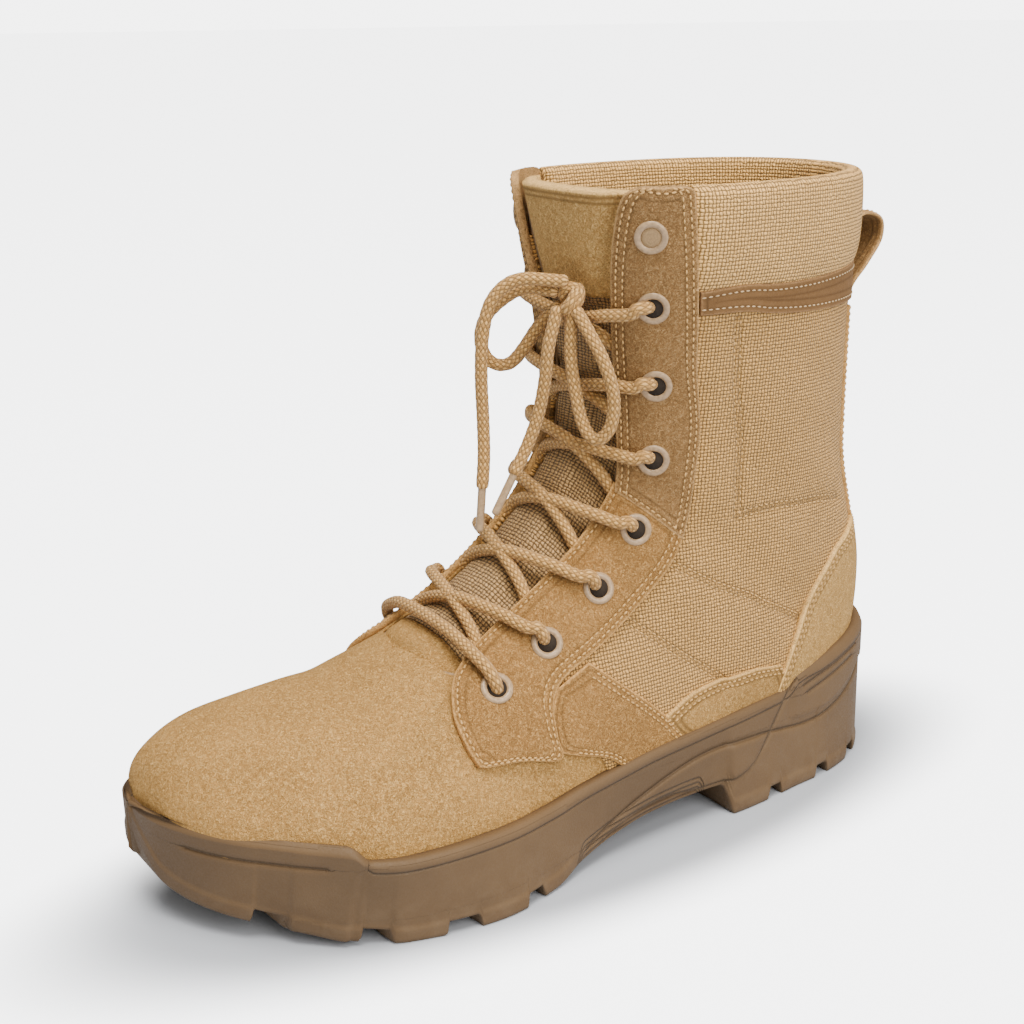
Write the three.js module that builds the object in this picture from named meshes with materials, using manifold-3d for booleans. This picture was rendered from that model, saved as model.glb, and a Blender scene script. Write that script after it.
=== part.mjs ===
// Left combat boot with an eight-inch shaft, laced over a tongue, on a moulded sole.
// Millimetres, +Z up, toe towards -Y, outer (lateral) side towards +X, ground at z = 0.

import * as THREE from 'three';
import { mergeVertices } from 'three/addons/utils/BufferGeometryUtils.js';
import Module from 'manifold-3d';

const wasm = await Module();
wasm.setup();

// Driving dimensions: the foot and the shaft.
const FOOT_LENGTH = 300;
const BALL_WIDTH = 104;
const INSTEP_HEIGHT = 129;
const HEEL_SEAT = 28;
const SHAFT_HEIGHT = 237;
const SHAFT_WIDTH = 97;

// Driving dimensions: walls, sheets and clearances.
const WALL = 2.4;
const SUEDE = 1.6;
const GAP = 0.3;
const COLLAR_PADDING = 3.2;
const TONGUE_THICKNESS = 3;
const INSOLE_THICKNESS = 4.5;

// Driving dimensions: the sole.
const RAND = 4.5;
const LUG_DEPTH = 5;
const GROOVE_RADIUS = 1.1;
const SOLE_BEVEL = 2.5;
const SOLE_INSET = 3;

// Driving dimensions: hardware and lace.
const EYELET_RADIUS = 6;
const EYELET_BORE = 2.7;
const EYELET_BARREL = 3.2;
const EYELET_HEIGHT = 1.2;
const EYELET_LIFT = 0.85;
const STUD_CAP_RADIUS = 3.1;
const LACE_RADIUS = 2.3;
const AGLET_RADIUS = 1.5;
const AGLET_LENGTH = 16;
const KNOT_RADIUS = 4.6;
const LOOP_WIDTH = 24;
const LOOP_THICKNESS = 2;

// Sampling of the curved surfaces.
const STATIONS = 17;
const AROUND = 24;
const ROUND_SIDES = 8;
const HOLE_SIDES = 6;
const GROOVE_SIDES = 3;
const CUT_MARGIN = 2;
const SHORTEST_EDGE = 0.08;

const SOLE_LENGTH = FOOT_LENGTH + 2 * RAND;
const SOLE_WIDTH = BALL_WIDTH + 2 * RAND;

// Sections of the upper form, one row each, from the toe tip to the collar. A section is a closed curve in
// the plane through its ridge point (top or front) and its keel point (underside or back).
// Columns: ridge y, ridge z, keel y, keel z, ridge x, keel x, lateral half width, medial half width, place of
// the widest line from ridge to keel, roundness above it and below it. Each y is a share of FOOT_LENGTH, and
// each foot row's x and widths are shares of BALL_WIDTH, ridge z of INSTEP_HEIGHT and keel z of HEEL_SEAT.
const FOOT_SECTIONS = [
  [-0.503, 0.295, -0.503, 0.93, -0.25, -0.25, 0.0, 0.0, 0.55, 2.3, 3.0],
  [-0.493, 0.388, -0.497, 0.64, -0.24, -0.24, 0.21, 0.125, 0.58, 2.3, 3.0],
  [-0.467, 0.457, -0.47, 0.54, -0.21, -0.21, 0.365, 0.21, 0.6, 2.3, 3.0],
  [-0.423, 0.496, -0.423, 0.46, -0.183, -0.163, 0.471, 0.298, 0.62, 2.3, 3.0],
  [-0.363, 0.516, -0.363, 0.39, -0.154, -0.096, 0.548, 0.365, 0.64, 2.3, 3.0],
  [-0.283, 0.539, -0.277, 0.32, -0.125, -0.048, 0.587, 0.413, 0.66, 2.3, 3.0],
  [-0.2, 0.597, -0.167, 0.32, -0.096, -0.01, 0.538, 0.423, 0.68, 2.3, 3.0],
  [-0.123, 0.698, -0.04, 0.36, -0.077, 0.0, 0.471, 0.404, 0.7, 2.3, 3.0],
  [-0.05, 0.837, 0.12, 0.43, -0.058, 0.0, 0.423, 0.365, 0.7, 2.4, 3.0],
  [0.013, 1.0, 0.313, 0.46, -0.048, 0.0, 0.385, 0.356, 0.62, 2.5, 2.6],
];
// In the shaft's rows x and widths are shares of SHAFT_WIDTH, ridge z a share of the rise from the instep to
// the collar, and keel z a share of the rise from the heel seat to the collar.
const SHAFT_SECTIONS = [
  [0.047, 0.194, 0.46, 0.0, -0.041, 0.0, 0.402, 0.392, 0.5, 2.6, 2.2],
  [0.053, 0.389, 0.49, 0.22, -0.031, 0.0, 0.412, 0.412, 0.46, 2.8, 2.2],
  [0.047, 0.602, 0.447, 0.488, -0.021, 0.0, 0.433, 0.443, 0.44, 2.8, 2.2],
  [0.033, 0.806, 0.443, 0.751, -0.01, 0.0, 0.464, 0.485, 0.44, 2.8, 2.2],
  [0.02, 1.0, 0.443, 1.0, 0.0, 0.0, 0.485, 0.515, 0.44, 2.8, 2.2],
];

// The throat's two edges. Columns: station, angle of the lateral edge, angle of the medial edge, in degrees
// from the ridge.
const THROAT = [
  [0.44, 31, 25],
  [0.49, 26, 21],
  [0.55, 26.5, 18],
  [0.61, 28.5, 15],
  [0.67, 31, 12.5],
  [0.73, 28, 12.5],
  [0.8, 24, 14],
  [0.88, 24, 18.5],
  [0.94, 26.5, 25],
  [1.0, 33, 33],
];
const THROAT_START = 0.447;
const TONGUE_START = 0.405;
const TONGUE_SPREAD = 58;

// Stations of the laced eyelets from the vamp up, and of the stud above them.
const EYELET_STATIONS = [0.475, 0.536, 0.599, 0.661, 0.735, 0.811, 0.888];
const STUD_STATION = 0.959;
const EYELET_ANGLE = 46;

// Height shares of the seat on which upper and insole stand. Columns: y share, z share of HEEL_SEAT.
const SEAT = [
  [-0.53, 0.72],
  [-0.467, 0.7],
  [-0.4, 0.61],
  [-0.333, 0.54],
  [-0.25, 0.48],
  [-0.15, 0.48],
  [-0.05, 0.54],
  [0.067, 0.64],
  [0.2, 0.75],
  [0.333, 0.86],
  [0.55, 0.93],
];

// Plan and profile of the sole. Columns: y as a share of SOLE_LENGTH, medial and lateral half width and the
// flare of the tread edge as shares of SOLE_WIDTH, underside and rim heights as shares of HEEL_SEAT.
const SOLE_SECTIONS = [
  [-0.505, -0.221, -0.221, 0.0, 1.05, 1.3],
  [-0.502, -0.3, -0.106, -0.01, 0.78, 1.33],
  [-0.495, -0.345, -0.026, -0.03, 0.54, 1.35],
  [-0.482, -0.385, 0.071, -0.045, 0.42, 1.37],
  [-0.463, -0.42, 0.164, -0.05, 0.34, 1.38],
  [-0.427, -0.458, 0.283, -0.054, 0.25, 1.37],
  [-0.385, -0.48, 0.389, -0.054, 0.16, 1.35],
  [-0.353, -0.489, 0.453, -0.052, 0.08, 1.32],
  [-0.331, -0.491, 0.483, -0.048, 0.05, 1.12],
  [-0.291, -0.491, 0.513, -0.036, 0.0, 1.09],
  [-0.233, -0.476, 0.522, -0.008, 0.0, 1.08],
  [-0.168, -0.45, 0.509, 0.012, 0.0, 1.07],
  [-0.1, -0.428, 0.473, 0.0, 0.02, 1.09],
  [-0.055, -0.412, 0.45, -0.015, 0.16, 1.15],
  [0.0, -0.403, 0.434, -0.03, 0.3, 1.22],
  [0.06, -0.392, 0.42, -0.035, 0.4, 1.3],
  [0.12, -0.382, 0.405, -0.03, 0.43, 1.34],
  [0.175, -0.376, 0.392, -0.018, 0.43, 1.38],
  [0.188, -0.374, 0.389, 0.012, 0.0, 1.39],
  [0.24, -0.366, 0.374, 0.016, 0.0, 1.43],
  [0.285, -0.353, 0.356, 0.016, 0.0, 1.47],
  [0.303, -0.346, 0.348, 0.016, 0.0, 1.64],
  [0.35, -0.327, 0.336, 0.014, 0.0, 1.73],
  [0.411, -0.279, 0.292, 0.01, 0.0, 1.86],
  [0.456, -0.204, 0.221, 0.004, 0.0, 1.95],
  [0.479, -0.124, 0.137, 0.0, 0.02, 1.99],
  [0.488, -0.044, 0.049, 0.0, 0.06, 2.0],
  [0.49, 0.0, 0.0, 0.0, 0.1, 2.0],
];

// Tread channels across the edge. Columns: y share of SOLE_LENGTH at the edge, at the middle, channel width.
const TREAD_CHANNELS = [
  [-0.388, -0.43, 8],
  [-0.309, -0.34, 9],
  [-0.214, -0.25, 12],
  [-0.117, -0.15, 8],
  [0.246, 0.27, 7],
  [0.337, 0.36, 7],
  [0.411, 0.43, 7],
];

// Two channels run along the tread under the ball, and two under the heel. Columns: x share of SOLE_WIDTH, y
// share of SOLE_LENGTH.
const BALL_CHANNEL = [[0.12, -0.4], [0.18, -0.3], [0.12, -0.2], [0.18, -0.1]];
const HEEL_CHANNEL = [[0.105, 0.22], [0.105, 0.44]];
const BALL_CHANNEL_WIDTH = 6;
const HEEL_CHANNEL_WIDTH = 5;
const SHALLOW_SHARE = 0.8;

// Grooves in the sole's side: under the toe bumper, two crossing waves, a heel stroke and the bumper's end.
// Columns: y share of SOLE_LENGTH, z share of HEEL_SEAT.
const SIDE_GROOVES = [
  [-0.347, -0.385, -0.427, -0.463, -0.482, -0.495, -0.503].map((y) => [y, 1.05]),
  [[0.296, 1.62], [0.235, 0.78], [0.2, 0.52], [0.14, 0.5], [0.08, 0.6], [-0.01, 0.35]],
  [[0.432, 1.3], [0.39, 1.05], [0.32, 0.92], [0.23, 1.05], [0.13, 1.02], [0.03, 0.7], [-0.04, 0.35]],
  [[0.315, 1.5], [0.36, 1.62], [0.425, 1.75]],
  [[-0.345, 1.02], [-0.35, 0.6], [-0.352, 0.3]],
];

// Panel outlines on the lateral side, as pairs of edges. Columns: station, angle in degrees from the ridge.
const LOWER_EYESTAY = {
  inner: [[0.684, 31.2], [0.638, 30.2], [0.594, 28.6], [0.544, 26.9], [0.494, 26.4], [0.46, 29], [0.441, 34],
    [0.4255, 44.5], [0.422, 57], [0.425, 66.3]],
  outer: [[0.694, 62.5], [0.648, 61], [0.608, 59.7], [0.565, 59.5], [0.53, 59.5], [0.512, 64], [0.503, 73],
    [0.497, 80.5], [0.465, 73.5], [0.431, 68]],
};
const UPPER_EYESTAY = {
  inner: [[0.69, 34.5], [0.73, 28.5], [0.8, 24.5], [0.88, 24.5], [0.94, 27], [0.985, 31], [1.005, 36],
    [1.014, 42]],
  outer: [[0.702, 62.5], [0.74, 63.5], [0.8, 65.5], [0.88, 66.5], [0.94, 66.3], [0.985, 65.5],
    [1.008, 64.5], [1.014, 60]],
};
const SIDE_PANEL = {
  inner: [[0.555, 62], [0.566, 72], [0.577, 80.7], [0.59, 96], [0.602, 118]],
  outer: [[0.532, 61.6], [0.518, 66], [0.508, 76], [0.53, 90.5], [0.556, 118]],
};
const FOXING = {
  inner: [[0.588, 88], [0.611, 90.3], [0.642, 95.5], [0.662, 103]],
  outer: [[0.61, 122], [0.63, 126], [0.648, 128], [0.656, 122]],
};
const COUNTER = {
  inner: [[0.658, 116], [0.666, 130], [0.684, 145], [0.7, 162]],
  outer: [[0.676, 110], [0.705, 110.5], [0.751, 118.3], [0.8, 132]],
  innerBack: [0.706, 180],
  outerBack: [0.826, 180],
};
const TAPE_PATH = [[0.893, 67.6], [0.912, 92], [0.931, 138], [0.937, 180]];
const TAPE_WIDTH = 0.021;
const TAPE_GAP = 0.0012;
const BACKSTAY = { start: 0.832, end: 0.929, spread: 33 };

// Free ends of the lace, as routes in millimetres that follow how they fall.
const KNOT = [11, 5.5, 199.5];
const LOOP_OUTER_ROUTE = [[5.8, 2, 202], [-5, -3, 202.5], [-12, -8, 198], [-18, -12.5, 190],
  [-19, -13.5, 181.5], [-16, -11, 174.5], [-11.5, -6.5, 174], [-7, -3, 180], [-3, 0, 187.5], [1.5, 2, 193],
  [5.8, 3.6, 196.4]];
const LOOP_INNER_ROUTE = [[15.6, 4.7, 195.7], [22, 6, 188], [26.5, 8, 180], [28.5, 10.5, 170], [28, 11.5, 162],
  [26, 10.5, 154], [22, 8, 150.5], [18, 6, 155], [14.5, 5, 166], [12.5, 4, 180], [12.8, 4, 190],
  [13, 4.4, 194.4]];
const END_OUTER_ROUTE = [[10, 3, 206], [-2, -10, 206], [-7, -16, 199], [-9, -18.5, 188], [-10, -19, 172],
  [-10, -18.5, 156], [-9, -19, 142], [-8, -20.5, 132]];
const END_INNER_ROUTE = [[9.3, 0.6, 196], [8.5, -2.5, 184], [6.5, -3, 170], [4, -4.5, 157], [2, -8, 146],
  [1.5, -12.5, 138]];

const rad = (degrees) => THREE.MathUtils.degToRad(degrees);

/** Interpolates a table of rows without overshoot: knots in the first column, values in the others. */
function monotoneTable(rows) {
  const knots = rows.map((row) => row[0]);
  const slopes = rows.map(() => []);
  for (let column = 1; column < rows[0].length; column += 1) {
    const rate = [];
    for (let i = 0; i < rows.length - 1; i += 1) {
      rate.push((rows[i + 1][column] - rows[i][column]) / (knots[i + 1] - knots[i]));
    }
    slopes[0][column] = rate[0];
    slopes[rows.length - 1][column] = rate[rate.length - 1];
    for (let i = 1; i < rows.length - 1; i += 1) {
      const [a, b] = [rate[i - 1], rate[i]];
      const wa = 2 * (knots[i + 1] - knots[i]) + (knots[i] - knots[i - 1]);
      const wb = knots[i + 1] - knots[i] + 2 * (knots[i] - knots[i - 1]);
      slopes[i][column] = a * b <= 0 ? 0 : (wa + wb) / (wa / a + wb / b);
    }
  }
  return (at, column) => {
    const x = THREE.MathUtils.clamp(at, knots[0], knots[knots.length - 1]);
    let i = 0;
    while (i < knots.length - 2 && x > knots[i + 1]) i += 1;
    const span = knots[i + 1] - knots[i];
    const t = (x - knots[i]) / span;
    const [p, q] = [rows[i][column], rows[i + 1][column]];
    const [m, n] = [slopes[i][column] * span, slopes[i + 1][column] * span];
    return (2 * t ** 3 - 3 * t ** 2 + 1) * p + (t ** 3 - 2 * t ** 2 + t) * m
      + (3 * t ** 2 - 2 * t ** 3) * q + (t ** 3 - t ** 2) * n;
  };
}

const FORM_ROWS = [
  ...FOOT_SECTIONS.map(([ry, rz, ky, kz, rx, kx, lateral, medial, ...shape]) => [
    ry * FOOT_LENGTH, rz * INSTEP_HEIGHT, ky * FOOT_LENGTH, kz * HEEL_SEAT, rx * BALL_WIDTH, kx * BALL_WIDTH,
    lateral * BALL_WIDTH, medial * BALL_WIDTH, ...shape,
  ]),
  ...SHAFT_SECTIONS.map(([ry, rz, ky, kz, rx, kx, lateral, medial, ...shape]) => [
    ry * FOOT_LENGTH, INSTEP_HEIGHT + rz * (SHAFT_HEIGHT - INSTEP_HEIGHT),
    ky * FOOT_LENGTH, HEEL_SEAT + kz * (SHAFT_HEIGHT - HEEL_SEAT),
    rx * SHAFT_WIDTH, kx * SHAFT_WIDTH, lateral * SHAFT_WIDTH, medial * SHAFT_WIDTH, ...shape,
  ]),
];
const formTable = monotoneTable(FORM_ROWS.map((row, i) => [i / (FORM_ROWS.length - 1), ...row]));
const throatTable = monotoneTable(THROAT);
const seatTable = monotoneTable(SEAT);
const soleTable = monotoneTable(SOLE_SECTIONS);

/** Millimetres that one whole station rises above the collar, where the form goes straight up. */
const ABOVE_COLLAR = 200;

/** Point of the form at a station (0 toe, 1 collar) and an angle (0 ridge, +90 degrees lateral). */
function formPoint(station, angle) {
  const s = Math.min(station, 1);
  const column = (index) => formTable(s, index);
  const c = Math.cos(angle);
  const n = Math.sin(angle);
  const power = 2 / column(c >= 0 ? 10 : 11);
  const down = Math.sign(c) * Math.abs(c) ** power;
  const out = Math.sign(n) * Math.abs(n) ** power;
  const widest = column(9);
  const along = c >= 0 ? widest * (1 - down) : widest - (1 - widest) * down;
  return new THREE.Vector3(
    THREE.MathUtils.lerp(column(5), column(6), along) + out * column(n >= 0 ? 7 : 8),
    THREE.MathUtils.lerp(column(1), column(3), along),
    THREE.MathUtils.lerp(column(2), column(4), along) + Math.max(0, station - 1) * ABOVE_COLLAR,
  );
}

/** Outward normal of the form, from differences; at the toe tip both sides share one normal. */
function formNormal(station, angle) {
  const step = 0.004;
  const turn = 0.02;
  const s = THREE.MathUtils.clamp(station, 3 * step, 1 - step);
  const across = formPoint(s, angle + turn).sub(formPoint(s, angle - turn));
  const along = formPoint(s + step, angle).sub(formPoint(s - step, angle));
  const normal = across.cross(along).normalize();
  if (station > 3 * step) return normal;
  const other = formPoint(s, turn - angle).sub(formPoint(s, -turn - angle));
  const otherAlong = formPoint(s + step, -angle).sub(formPoint(s - step, -angle));
  const tip = normal.clone().add(other.cross(otherAlong).normalize());
  tip.x = 0;
  tip.normalize();
  return tip.lerp(normal, station / (3 * step)).normalize();
}

/** Point at a height over the form's surface. */
function overForm(station, angle, height) {
  return formPoint(station, angle).addScaledVector(formNormal(station, angle), height);
}

/** Angle of a throat edge on one side: +1 lateral, -1 medial. */
function throatAngle(side, station) {
  return side * rad(throatTable(station, side > 0 ? 1 : 2));
}

/** Puts a lateral angle on either side, keeping its place between the throat's edge and the widest line. */
function sideAngle(side, station, degrees) {
  const lateral = throatAngle(1, station);
  const angle = rad(degrees);
  if (side > 0) return angle;
  const edge = -throatAngle(-1, station);
  if (angle > Math.PI / 2) return -angle;
  return -(edge + ((angle - lateral) * (Math.PI / 2 - edge)) / (Math.PI / 2 - lateral));
}

/** Closed solid from vertex positions and triangles. */
function solidFrom(geometry) {
  const bare = geometry.clone();
  bare.deleteAttribute('normal');
  bare.deleteAttribute('uv');
  const merged = mergeVertices(bare, 1e-4);
  const mesh = new wasm.Mesh({
    numProp: 3,
    vertProperties: new Float32Array(merged.attributes.position.array),
    triVerts: new Uint32Array(merged.index.array),
  });
  return new wasm.Manifold(mesh);
}

/** Joins the ends of edges that are too short to see, and drops the faces that this closes. */
function joinShortEdges(positions, triangles) {
  const parent = Array.from({ length: positions.length / 3 }, (_, i) => i);
  const root = (i) => {
    let at = i;
    while (parent[at] !== at) at = parent[at];
    return at;
  };
  const distance = (a, b) => Math.hypot(...[0, 1, 2].map((k) => positions[3 * a + k] - positions[3 * b + k]));
  for (let i = 0; i < triangles.length; i += 3) {
    for (let k = 0; k < 3; k += 1) {
      const a = triangles[i + k];
      const b = triangles[i + ((k + 1) % 3)];
      if (distance(a, b) < SHORTEST_EDGE) parent[Math.max(root(a), root(b))] = Math.min(root(a), root(b));
    }
  }
  const kept = new Map();
  for (let i = 0; i < triangles.length; i += 3) {
    const face = [root(triangles[i]), root(triangles[i + 1]), root(triangles[i + 2])];
    if (new Set(face).size === 3) {
      const key = face.slice().sort((a, b) => a - b).join();
      if (kept.has(key)) kept.delete(key);
      else kept.set(key, face);
    }
  }
  return [...kept.values()].flat();
}

/** Turns a solid back into a buffer geometry. */
function geometryFrom(solid) {
  const mesh = solid.getMesh();
  const geometry = new THREE.BufferGeometry();
  geometry.setAttribute('position', new THREE.BufferAttribute(mesh.vertProperties, 3));
  geometry.setIndex(joinShortEdges(mesh.vertProperties, mesh.triVerts));
  geometry.computeVertexNormals();
  return geometry;
}

/** Geometry from quads between closed rings of points, with the triangles of its end caps. */
function gridGeometry(grid, caps) {
  const columns = grid[0].length;
  const positions = grid.flat().flatMap((point) => point.toArray());
  const index = [];
  for (let i = 0; i < grid.length - 1; i += 1) {
    for (let j = 0; j < columns; j += 1) {
      const a = i * columns + j;
      const b = i * columns + ((j + 1) % columns);
      index.push(a, b, a + columns, b, b + columns, a + columns);
    }
  }
  const geometry = new THREE.BufferGeometry();
  geometry.setAttribute('position', new THREE.Float32BufferAttribute(positions, 3));
  geometry.setIndex([...index, ...caps.flat()]);
  return geometry;
}

/** Closed solid from a geometry whose faces may all point in. */
function facingOut(geometry) {
  const solid = solidFrom(geometry);
  return solid.volume() > 0 ? solid : solidFrom(flipped(geometry));
}

/** Closed solid through rings of points; the first and last ring are a line or get a flat fan. */
function ringSolid(rings, capEnd) {
  const columns = rings[0].length;
  const last = (rings.length - 1) * columns;
  const cap = [];
  if (capEnd) {
    for (let j = 1; j < columns - 1; j += 1) cap.push([last, last + j, last + j + 1]);
  }
  return facingOut(gridGeometry(rings, cap));
}

/** The whole form grown by a height, from the toe tip up to a station. */
function formSolid(height, topStation = 1) {
  const rings = [];
  const ringAt = (station) => Array.from({ length: AROUND }, (_, j) => (
    overForm(station, (2 * Math.PI * j) / AROUND, height)));
  for (let i = 0; i <= STATIONS; i += 1) rings.push(ringAt((i / STATIONS) ** 1.3));
  if (topStation > 1) rings.push(ringAt(topStation));
  return ringSolid(rings, true);
}

/** Block between two heights over the form, bounded by two edges given as lists of station and angle. */
function patchBlock(edgeA, edgeB, low, high, along, across) {
  const curveA = new THREE.SplineCurve(edgeA.map(([s, a]) => new THREE.Vector2(s, a)));
  const curveB = new THREE.SplineCurve(edgeB.map(([s, a]) => new THREE.Vector2(s, a)));
  const rings = [];
  for (let i = 0; i <= along; i += 1) {
    const a = curveA.getPoint(i / along);
    const b = curveB.getPoint(i / along);
    const ring = [];
    for (let j = 0; j <= across; j += 1) {
      const at = a.clone().lerp(b, j / across);
      ring.push(overForm(at.x, at.y, high));
    }
    for (let j = across; j >= 0; j -= 1) {
      const at = a.clone().lerp(b, j / across);
      ring.push(overForm(at.x, at.y, low));
    }
    rings.push(ring);
  }
  const columns = 2 * (across + 1);
  const last = along * columns;
  const caps = [];
  for (let j = 0; j < across; j += 1) {
    const below = columns - 1 - j;
    caps.push([j, below, j + 1], [j + 1, below, below - 1]);
    caps.push([last + j, last + j + 1, last + below], [last + j + 1, last + below - 1, last + below]);
  }
  return facingOut(gridGeometry(rings, caps));
}

/** The same geometry with its faces turned over. */
function flipped(geometry) {
  const index = Array.from(geometry.index.array);
  for (let i = 0; i < index.length; i += 3) [index[i], index[i + 1]] = [index[i + 1], index[i]];
  geometry.setIndex(index);
  return geometry;
}

/** The y of each section of the sole, which every level surface across the boot shares. */
function soleLevels() {
  const levels = [];
  SOLE_SECTIONS.forEach(([level], i) => {
    const next = SOLE_SECTIONS[i + 1];
    levels.push(level * SOLE_LENGTH);
    if (next && next[0] - level > 0.07) levels.push(((level + next[0]) / 2) * SOLE_LENGTH);
  });
  return levels;
}

/** Slab across the whole boot between two height functions of y. */
function levelSlab(lowAt, highAt) {
  const reach = SOLE_WIDTH;
  const levels = [-SOLE_LENGTH, ...soleLevels(), SOLE_LENGTH];
  const rings = levels.map((y) => {
    const corners = [[-reach, lowAt(y)], [reach, lowAt(y)], [reach, highAt(y)], [-reach, highAt(y)]];
    return corners.map(([x, z]) => new THREE.Vector3(x, y, z));
  });
  const last = (levels.length - 1) * 4;
  const caps = [[0, 2, 1], [0, 3, 2], [last, last + 1, last + 2], [last, last + 2, last + 3]];
  return facingOut(gridGeometry(rings, caps));
}

/** Round bar with a polygonal section along a smooth route. */
function bar(points, radius, sides, steps) {
  const section = new THREE.Shape();
  for (let k = 0; k < sides; k += 1) {
    const turn = (2 * Math.PI * k) / sides;
    const [x, y] = [radius * Math.cos(turn), radius * Math.sin(turn)];
    if (k === 0) section.moveTo(x, y);
    else section.lineTo(x, y);
  }
  section.closePath();
  const route = points.map((point) => (Array.isArray(point) ? new THREE.Vector3(...point) : point));
  const extrudePath = new THREE.CatmullRomCurve3(route, false, 'centripetal');
  return new THREE.ExtrudeGeometry(section, { steps, bevelEnabled: false, extrudePath });
}

const seatHeight = (y) => HEEL_SEAT * seatTable(y / FOOT_LENGTH, 1);
const rimHeight = (y) => HEEL_SEAT * soleTable(y / SOLE_LENGTH, 5);
const treadHeight = (y) => HEEL_SEAT * soleTable(y / SOLE_LENGTH, 4);
const soleHalf = (side, y) => SOLE_WIDTH * soleTable(y / SOLE_LENGTH, side > 0 ? 2 : 1);

/** Outermost point of the sole's side at y and z. */
function soleSide(side, y, z) {
  const rise = THREE.MathUtils.clamp((z - treadHeight(y)) / (rimHeight(y) - treadHeight(y)), 0, 1);
  const flare = side * SOLE_WIDTH * soleTable(y / SOLE_LENGTH, 3) * (1 - rise);
  return new THREE.Vector3(soleHalf(side, y) + flare, y, z);
}

/** Solid body of the sole before its seat, grooves and tread are cut. */
function soleBlank() {
  const rings = soleLevels().map((y) => {
    const low = treadHeight(y);
    const high = rimHeight(y);
    const half = (soleHalf(1, y) - soleHalf(-1, y)) / 2;
    const inward = Math.min(SOLE_INSET, half * 0.5);
    const bevel = Math.min(SOLE_BEVEL, (high - low) * 0.2);
    const profile = (side) => [
      soleSide(side, y, low).add(new THREE.Vector3(-side * inward, 0, 0)),
      soleSide(side, y, low + bevel),
      soleSide(side, y, THREE.MathUtils.lerp(low, high, 0.5)),
      soleSide(side, y, high - bevel),
      soleSide(side, y, high).add(new THREE.Vector3(-side * inward * 0.4, 0, 0)),
    ];
    return [...profile(1), ...profile(-1).reverse()];
  });
  return ringSolid(rings, false);
}

/** Groove cutter along the sole's side through pairs of y and z. */
function sideGroove(side, points) {
  const route = points.map(([y, z]) => soleSide(side, y * SOLE_LENGTH, z * HEEL_SEAT));
  return solidFrom(bar(route, GROOVE_RADIUS, GROOVE_SIDES, points.length));
}

/** Channel in the tread: a strip in plan, cut up to a depth over the local underside. */
function treadChannel(points, [aside, ahead], depth) {
  const top = Math.max(...points.map(([, y]) => treadHeight(y))) + depth;
  const left = points.map(([x, y]) => new THREE.Vector2(x - aside / 2, y - ahead / 2));
  const right = points.map(([x, y]) => new THREE.Vector2(x + aside / 2, y + ahead / 2)).reverse();
  const plan = new THREE.Shape([...left, ...right]);
  const block = new THREE.ExtrudeGeometry(plan, { depth: top + CUT_MARGIN, bevelEnabled: false });
  block.translate(0, 0, -CUT_MARGIN);
  return solidFrom(block);
}

/** Outsole: rand around the upper, bumper, arch, heel block, side grooves and lugs. */
function makeOutsole(formBelow) {
  const cuts = TREAD_CHANNELS.map(([edge, middle, width]) => treadChannel(
    [[-SOLE_WIDTH, edge * SOLE_LENGTH], [0, middle * SOLE_LENGTH], [SOLE_WIDTH, edge * SOLE_LENGTH]],
    [0, width],
    LUG_DEPTH,
  ));
  for (const side of [1, -1]) {
    const plan = (rows) => rows.map(([x, y]) => [side * x * SOLE_WIDTH, y * SOLE_LENGTH]);
    cuts.push(treadChannel(plan(BALL_CHANNEL), [BALL_CHANNEL_WIDTH, 0], LUG_DEPTH * SHALLOW_SHARE));
    cuts.push(treadChannel(plan(HEEL_CHANNEL), [HEEL_CHANNEL_WIDTH, 0], LUG_DEPTH * SHALLOW_SHARE));
    cuts.push(...SIDE_GROOVES.map((route) => sideGroove(side, route)));
  }
  const aboveSeat = levelSlab((y) => seatHeight(y), () => 2 * SHAFT_HEIGHT);
  return cuts.reduce((sole, cut) => sole.subtract(cut), soleBlank().subtract(formBelow.intersect(aboveSeat)));
}

/** Position and turn that stand a part's +Y along the form's normal at an eyelet. */
function eyeletPlace(side, station, height) {
  const angle = sideAngle(side, station, EYELET_ANGLE);
  const normal = formNormal(station, angle);
  const turn = new THREE.Quaternion().setFromUnitVectors(new THREE.Vector3(0, 1, 0), normal);
  return { position: overForm(station, angle, height), turn, angle };
}

const EYELET_SEAT = GAP + SUEDE + EYELET_LIFT;
const STUD_SEAT = GAP + SUEDE + GAP;

/** Metal eyelet: a rolled flange outside and a barrel through the facing. */
function eyeletGeometry() {
  const depth = EYELET_SEAT + WALL * 0.6;
  const profile = [
    [EYELET_BORE, -depth], [EYELET_BARREL, -depth], [EYELET_BARREL, 0], [EYELET_RADIUS, 0],
    [EYELET_RADIUS * 0.8, EYELET_HEIGHT], [EYELET_BORE, EYELET_HEIGHT * 0.4], [EYELET_BORE, -depth],
  ].map(([r, h]) => new THREE.Vector2(r, h));
  return new THREE.LatheGeometry(profile, ROUND_SIDES);
}

/** Closed stud: the same flange with a cap in it. */
function studGeometry() {
  const profile = [
    [0, 0], [EYELET_RADIUS, 0], [EYELET_RADIUS * 0.8, EYELET_HEIGHT], [STUD_CAP_RADIUS, EYELET_HEIGHT * 0.4],
    [STUD_CAP_RADIUS * 0.8, EYELET_HEIGHT * 0.75], [0, EYELET_HEIGHT * 0.85],
  ].map(([r, h]) => new THREE.Vector2(r, h));
  return new THREE.LatheGeometry(profile, ROUND_SIDES);
}

/** Cutter for the hole that an eyelet's barrel goes through. */
function eyeletHole(side, station) {
  const length = 8 * EYELET_SEAT;
  const holeRadius = (EYELET_BARREL + GAP) / Math.cos(Math.PI / HOLE_SIDES);
  const hole = new THREE.CylinderGeometry(holeRadius, holeRadius, length, HOLE_SIDES);
  const place = eyeletPlace(side, station, 0);
  hole.applyQuaternion(place.turn);
  hole.translate(...place.position.toArray());
  return solidFrom(hole);
}

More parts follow.
